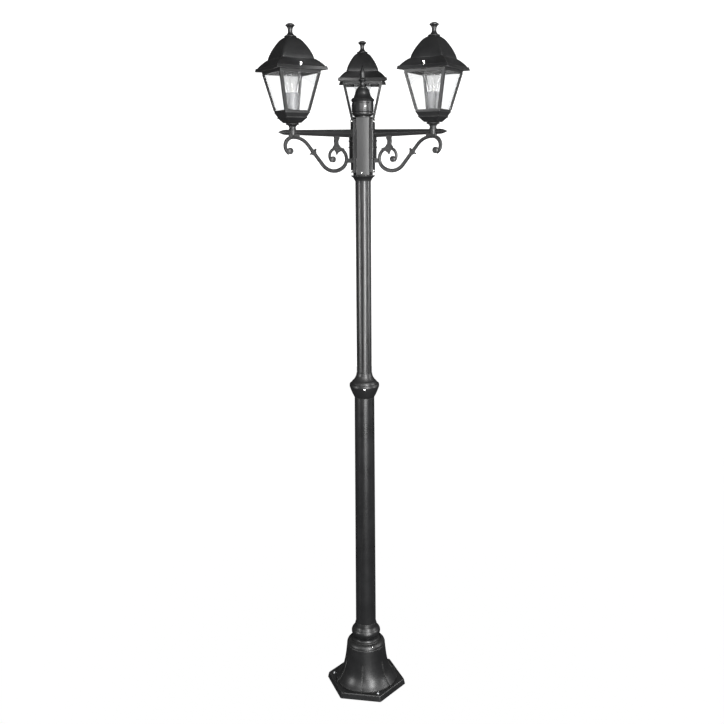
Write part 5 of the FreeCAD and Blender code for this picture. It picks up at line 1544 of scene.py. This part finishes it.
    def bracket(self, bm: Mesh) -> None:
        """The bracket on the hub with its saddle, beads, tie and the beam's seat.

        Args:
            bm: The mesh that it goes into.
        """
        foot, seat, saddle, half = self.hub_foot + 8, self.seat, self.seat + 13.6, self.saddle_half
        under, pad = self.level - self.beam_half, self.reach - 5
        boxed(bm, (seat, -9.5, foot), (seat + 10.1, 9.5, foot + 160), 1.1)
        boxed(bm, (seat, -half, foot + 42), (saddle, half, foot + 130), 1.2)
        boxed(bm, (seat, -self.depth, foot + 30), (saddle + 16, self.depth, foot + 43), 1.0)
        boxed(bm, (pad - 17, -self.depth, under - self.drop - 2), (pad + 17, self.depth, self.level), 1.0)
        disc = [(0, 0), (10.2, 0), (11, 0.8), (11, 14.7), (10.2, 15.5), (0, 15.5)]
        pegged(bm, Vector((self.reach, 0, under)), UP, disc, 56)
        bead = [(0, 0), (1.7, 0), (2.3, 0.6), (2.3, 2 * half - 0.6), (1.7, 2 * half), (0, 2 * half)]
        for drop in (22.5, 41.5):
            pegged(bm, Vector((saddle, -half, self.level - drop)), ACROSS, bead, 28)

    def build(self) -> None:
        """Make the arm and stand it on its heading."""
        bm = bmesh.new()
        for draw in (self.beam, self.bracket, self.scroll, self.stem_leaf):
            draw(bm)
        name = self.side.label
        piece = to_object(bm, f"scroll_arm_{name}", angle=28)
        settle(stood(piece, 0, self.side.value), POST, Slot.CASTING, f"arm_{name}")


def arm_screws(hub_foot: float) -> None:
    """The six screws that hold the arms to the hub, two to an arm.

    Args:
        hub_foot: The height of the hub's underside.
    """
    bm = bmesh.new()
    for side in Side:
        for rise in (14, 162):
            domed_screw(bm, axis_spot(side.value, 39, hub_foot + rise), heading_of(side.value), 4.2, 3.2)
    settle(to_object(bm, "arm_screw_heads"), POST, Slot.STEEL, "arm_screws")


# ------------------------------------------------------------------ lanterns


THREAD_PITCH = 3.6
COIL_TURNS = 30


@dataclass
class Lantern:
    """One lantern: stem, pan, cage, panes, sleeve, bulb, roof, knob and thumb screws."""

    side: Side
    reach: float = 240.0
    foot_half: float = 39.5
    head_half: float = 65.6
    wall: float = 4.0
    post: float = 8.8
    rail: float = 8.0
    proud: float = 0.7
    ear_reach: float = 70.0
    sleeve_height: float = 71.0
    nipple_bore: float = 5.1
    bulb_radius: float = 29.0
    bulb_wall: float = 0.9
    bulb_middle: float = 53.0
    screw_reach: float = 66.0
    grip_radius: float = 3.1
    grip_ridges: int = 24

    def __post_init__(self) -> None:
        """Read the lantern's heights from the frame."""
        name = self.side.label
        self.stem_foot = low(f"stem_{name}")
        self.pan = top(f"stem_{name}")
        self.floor = low(f"sleeve_{name}")
        self.cage = low(f"glass_{name}")
        self.roof = low(f"roof_{name}")
        self.crown = top(f"roof_{name}")
        self.bulb_foot, self.neck = low(f"bulb_cap_{name}"), top(f"bulb_cap_{name}")
        self.slope = (self.head_half - self.foot_half) / (self.roof - self.cage)

    def half_at(self, height: float) -> float:
        """The cage's outer half width at a height."""
        return self.foot_half + self.slope * (height - self.cage)

    def stem(self) -> Piece:
        """The turned stem between arm and pan."""
        bore = self.nipple_bore
        return turning(f"stem_turning_{self.side.label}", self.stem_foot, [
            (bore, 0), (11, 0), (9.8, 5, 11.8, 10.5), (18.3, 14, 19.8, 16), (18.3, 18), (16.8, 19.2),
            (bore, 19.2),
        ], 0.5, steps=12, count=96)

    def cage_frame(self) -> Piece:
        """The pan with its beads, the two rails, the four posts and the ears."""
        pan, cage, roof, wall = self.pan, self.cage, self.roof, self.wall
        window, head = cage + 4, roof - self.rail
        sill, lintel = self.half_at(window), self.half_at(head)
        tray = [
            (20.5, pan), (31.5, pan + 12.2), (33.2, pan + 13), (33.9, pan + 14.5), (33.6, pan + 16),
            (32.8, pan + 16.6), (38.2, cage - 4.6), (39.5, cage - 4), (self.foot_half, cage), (sill, window),
            (sill - wall, window), (self.foot_half - wall, cage), (31, cage), (27, self.floor),
            (self.nipple_bore, self.floor), (self.nipple_bore, pan),
        ]
        rail = [(lintel, head), (self.head_half, roof), (self.head_half - wall, roof), (lintel - wall, head)]
        bm = bmesh.new()
        for outline in (tray, rail):
            squared(bm, soften(outline, 0.5, closed=True), 1.4)
        for quarter in range(4):
            rings = []
            for height in (window - 0.6, head + 0.6):
                h, leg = self.half_at(height) + self.proud, self.post
                half_angle = [(h, h), (h - leg, h), (h - leg, h - wall), (h - wall, h - wall)]
                corner = half_angle + [(h - wall, h - leg), (h, h - leg)]
                turned_corner = spun(soften(corner, 0.7, closed=True), math.pi / 2 * quarter)
                rings.append([(x, y, height) for x, y in turned_corner])
            skin(bm, rings)
        for sign in (1, -1):
            near, far = sorted((sign * (self.head_half - wall / 2), sign * self.ear_reach))
            boxed(bm, (-7, near, roof - 4), (7, far, roof - 0.05), 0.8)
        return to_object(bm, f"cage_frame_{self.side.label}", angle=28)

    def sleeve(self) -> Piece:
        """The grey sleeve round the lampholder."""
        head = self.sleeve_height
        corners = [(19.8, 0), (21, 0), (21, head), (19.8, head)]
        return turning(f"candle_sleeve_{self.side.label}", self.floor, corners, 0.4, count=96)

    def bulb(self) -> Piece:
        """The bulb's glass, a thin closed shell."""
        neck, middle = self.neck, self.neck + self.bulb_middle
        walls = []
        for inset in (0.0, self.bulb_wall):
            full = self.bulb_radius - inset
            diagonal = full * math.sqrt(0.5)
            side = arc((15.0 - inset, neck + 12), (20.75 - inset, neck + 32.5), (full, middle), 14)
            cap = arc((full, middle), (diagonal, middle + diagonal), (0, middle + full), 22)
            walls.append([(14.5 - inset, neck)] + side + cap[1:])
        bm = bmesh.new()
        turned(bm, walls[0] + list(reversed(walls[1])))
        return to_object(bm, f"bulb_shell_{self.side.label}")

    def bulb_cap(self) -> Piece:
        """The bulb's rolled screw cap, its insulator and its contact."""
        foot, neck = self.bulb_foot, self.neck
        rises = [4.5 + 16 * i / 59 for i in range(60)]
        outline = [(0, foot), (4.5, foot), (5, foot + 1), (10, foot + 2.2), (12.4, foot + 4)]
        outline += [(12.75 + 0.5 * math.cos(math.tau * rise / THREAD_PITCH), foot + rise) for rise in rises]
        outline += [(13.1, foot + 21.5), (13.2, foot + 23.5), (14.3, foot + 23.6), (14.5, foot + 24.4)]
        bm = bmesh.new()
        turned(bm, outline + [(14.5, neck), (0, neck)])
        return to_object(bm, f"rolled_cap_{self.side.label}", angle=50)

    def filament(self) -> Piece:
        """The mount in the bulb: a pinched stem, two leads and a looped wire."""
        neck, lamp = self.neck, self.neck + 46
        bm = bmesh.new()
        pinch = [(0, 0.2), (5, 0.2), (3.2, 8), (2.2, 20), (1.6, 24), (0, 25)]
        pegged(bm, UP * neck, UP, pinch, 32)
        for sign in (1, -1):
            base, tip = Vector((0, sign * 1.2, neck + 20)), Vector((0, sign * 11, lamp))
            pegged(bm, base, (tip - base).normalized(), peg(0.35, (tip - base).length), 12)
        rings = []
        for i in range(121):
            t = i / 120
            bow, coil = math.sin(math.pi * t), math.tau * COIL_TURNS * t
            bulge, rise = 4 * bow + 0.5 * math.cos(coil), lamp + 2.5 * bow + 0.5 * math.sin(coil)
            out = Vector((bulge, -11 + 22 * t, rise))
            rings.append([tuple(out + Vector((x, 0, z))) for x, z in circle_ring(0.16, 4)])
        skin(bm, rings)
        return to_object(bm, f"filament_{self.side.label}")

    def roof_shell(self) -> Piece:
        """The roof: a bowed lip, a cove up to a crease and a domed crown, hollow inside."""
        z = self.roof
        lip = [(0.0, 70.6, 79.4, 0.7), (0.7, 71.6, 80.6, 0.9), (9.2, 69.8, 78.4, 0.9)]
        lip += [(10.0, 68.8, 77.4, 0.8), (10.0, 63.2, 75.6, 1.0)]
        cove = [(10.6, 62.2, 74.4, 1.0), (17, 59, 69.5, 1.4), (25, 55.6, 61.6, 2.2), (30.4, 53.8, 55.1, 3.4)]
        crease = [(31.0, 53.3, 54.4, 3.6), (31.4, 52.2, 53.0, 4.4)]
        domed = [(32.2, 52.4, 6), (42, 50.2, 7.5), (57, 43.9, 8)]
        domed += [(72, 35.4, 8.5), (85, 26.2, 9), (92.6, 16.3, 9)]
        crown = [(93.0, 14.6, 14.6, 9), (93.0, 3.4, 3.4, 3), (88.0, 3.4, 3.4, 3), (88.0, 15, 15, 8)]
        within = [(85.5, 20.5), (72, 30.8), (57, 39.3), (42, 45.8)]
        within += [(25, 51.3), (17, 54.8), (10, 58.3), (0.4, 60)]
        dome = blended([(rise, half, half, corner) for rise, half, corner in domed], 6)
        inside = blended([(rise, half, half, 8) for rise, half in within], 4) + [(0.0, 60.4, 60.4, 8)]
        rings = []
        for rise, half, tip, corner in lip + blended(cove, 6) + crease + dome + crown + inside:
            rings.append([(x, y, z + rise) for x, y in square_ring(half, tip, corner, 18)])
        bm = bmesh.new()
        skin(bm, rings, looped=True)
        return to_object(bm, f"roof_shell_{self.side.label}", angle=34)

    def knob(self) -> Piece:
        """The turned knob on the roof."""
        return turning(f"knob_turning_{self.side.label}", self.crown, [
            (0, -13), (3, -13), (3, 0), (16.6, 0), (17.6, 1.4, 18, 2.5), (16.6, 3.8), (13.6, 5, 7.8, 11),
            (6.8, 19, 9, 27), (13.4, 31.4), (13.9, 33), (12.2, 34.8), (7, 37.8), (0, 39),
        ], 0.7, closed=False, count=96)

    def thumb_screws(self) -> Piece:
        """The two knurled screws that hold the roof down."""
        bm = bmesh.new()
        seat = self.roof + 10
        turns = [math.tau * i / 96 for i in range(96)]
        for sign in (1, -1):
            middle = sign * self.screw_reach
            rings = []
            for inset, rise in ((0.7, 0.0), (0.0, 0.7), (0.0, 10.2), (0.8, 11.0)):
                ring = []
                for turn in turns:
                    r = self.grip_radius - inset - 0.14 * (1 + math.cos(self.grip_ridges * turn))
                    ring.append((r * math.cos(turn), middle + r * math.sin(turn), seat + rise))
                rings.append(ring)
            skin(bm, rings)
            shank = [(0, 0), (1.6, 0), (2, 0.5), (2, 12.5), (0, 12.5)]
            pegged(bm, Vector((0, middle, seat - 12)), UP, shank, 28)
        return to_object(bm, f"thumb_screws_{self.side.label}", angle=40)

    def build(self) -> None:
        """Make the lantern's pieces and stand them at the arm's end."""
        name = self.side.label
        lifted, lamp = f"roof_{name}_top", f"bulb_{name}"
        for piece, body, slot, nodes in (
            (self.stem(), POST, Slot.CASTING, [f"stem_{name}"]),
            (self.cage_frame(), POST, Slot.CASTING, [f"cage_{name}"]),
            (self.sleeve(), POST, Slot.SLEEVE, [f"sleeve_{name}"]),
            (self.bulb(), lamp, Slot.BULB, [f"bulb_glass_{name}"]),
            (self.bulb_cap(), lamp, Slot.BULB_METAL, [f"bulb_cap_{name}"]),
            (self.filament(), lamp, Slot.BULB_METAL, []),
            (self.roof_shell(), lifted, Slot.CASTING, [f"roof_{name}"]),
            (self.knob(), lifted, Slot.CASTING, [f"roof_knob_{name}"]),
            (self.thumb_screws(), lifted, Slot.STEEL, [f"roof_screws_{name}"]),
        ):
            settle(stood(piece, self.reach, self.side.value), body, slot, *nodes)


# ------------------------------------------------------------------ studio


@dataclass(frozen=True)
class SoftLight:
    """One large soft light that faces the post."""

    name: str
    place: Spot
    target: Spot
    size: Point
    power: float

    def hang(self) -> None:
        """Put the light in the scene."""
        lamp = bpy.data.lights.new(self.name, "AREA")
        lamp.shape = "RECTANGLE"
        lamp.size, lamp.size_y = self.size
        lamp.energy = self.power
        made = bpy.data.objects.new(self.name, lamp)
        made.location = self.place
        way = Vector(self.target) - Vector(self.place)
        made.rotation_euler = way.to_track_quat("-Z", "Y").to_euler()
        bpy.context.scene.collection.objects.link(made)


@dataclass(frozen=True)
class Studio:
    """The pale floor that curves up round the post, the lights and the camera."""

    floor_tone: float = 0.3
    glow: float = 1.0
    sky: float = 0.05
    bend: float = 2.0
    back: float = 7.0
    wall: float = 9.0
    eye: Spot = (0.0, -2.730, 1.786)
    pitch: float = 0.222
    yaw: float = 0.0027
    roll: float = -0.0070
    lens: float = 42.36
    lights: tuple[SoftLight, ...] = (
        SoftLight("key", (1.0, -2.4, 2.0), (0, 0, 1.5), (0.4, 2.6), 170),
        SoftLight("left_low", (-2.3, -1.2, 1.2), (0, 0, 1.4), (0.3, 0.7), 34),
        SoftLight("left_high", (-0.85, -2.7, 2.5), (0, 0, 1.9), (0.22, 0.9), 30),
        SoftLight("right", (2.5, -0.25, 1.7), (0, 0, 1.4), (0.3, 1.8), 40),
        SoftLight("front", (0.5, -3.4, 0.35), (0, 0, 1.0), (1.2, 0.5), 40),
    )

    def floor(self) -> None:
        """The floor, which curves up into a wall all round the post."""
        flat = self.back - self.bend
        turns = [math.pi / 2 * i / 24 for i in range(1, 25)]
        profile = [(flat, 0.0)]
        profile += [(flat + self.bend * math.sin(turn), self.bend * (1 - math.cos(turn))) for turn in turns]
        profile.append((self.back, self.wall))
        bm = bmesh.new()
        rows = [[bm.verts.new((x, y, height)) for x, y in circle_ring(radius)] for radius, height in profile]
        bm.faces.new(rows[0])
        for near, far in zip(rows, rows[1:]):
            for i in range(len(near)):
                j = (i + 1) % len(near)
                bm.faces.new((near[i], near[j], far[j], far[i]))
        mesh = bpy.data.meshes.new("floor")
        bm.to_mesh(mesh)
        bm.free()
        mesh.shade_smooth()
        made = bpy.data.objects.new("floor", mesh)
        bpy.context.scene.collection.objects.link(made)
        material, pad, shader = new_material("studio_paper")
        tone = (self.floor_tone,) * 3
        pad.fill(shader, Base_Color=rgba(tone), Roughness=0.9)
        pad.fill(shader, Emission_Color=WHITE, Emission_Strength=self.glow)
        made.data.materials.append(material)
        made.visible_glossy = False

    def camera(self) -> None:
        """The camera, pitched down and slightly turned and rolled as in the photograph."""
        lens = bpy.data.cameras.new("camera")
        lens.sensor_width = 36.0
        lens.lens = self.lens
        lens.clip_start = 0.05
        made = bpy.data.objects.new("camera", lens)
        tilt = Matrix.Rotation(math.pi / 2 - self.pitch, 4, "X") @ Matrix.Rotation(self.roll, 4, "Z")
        made.matrix_world = Matrix.Translation(self.eye) @ Matrix.Rotation(self.yaw, 4, "Z") @ tilt
        bpy.context.scene.collection.objects.link(made)
        bpy.context.scene.camera = made

    def build(self) -> None:
        """Set the floor, the sky, the lights and the camera."""
        self.floor()
        world = bpy.data.worlds.new("studio")
        world.use_nodes = True
        sky = world.node_tree.nodes["Background"]
        sky.inputs["Color"].default_value = WHITE
        sky.inputs["Strength"].default_value = self.sky
        bpy.context.scene.world = world
        bpy.context.scene.view_settings.view_transform = "Standard"
        for light in self.lights:
            light.hang()
        self.camera()


def dress_frame() -> None:
    """Give every CAD node its slot's finish."""
    for entry in frame["record"]["subparts"]:
        node = frame["nodes"][entry["node"]]
        PALETTE.dress(node, Slot(entry["material_slot"]))


def main() -> None:
    """Build the post from the ground up, then the studio round it."""
    logging.basicConfig(level=logging.INFO, format="%(name)s: %(message)s")
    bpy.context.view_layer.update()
    dress_frame()
    BaseCasting().build()
    Column().build()
    hub = Hub()
    hub.build()
    for side in Side:
        Arm(side).build()
        Lantern(side).build()
    arm_screws(hub.foot)
    Studio().build()


if __name__ == "__main__":
    main()
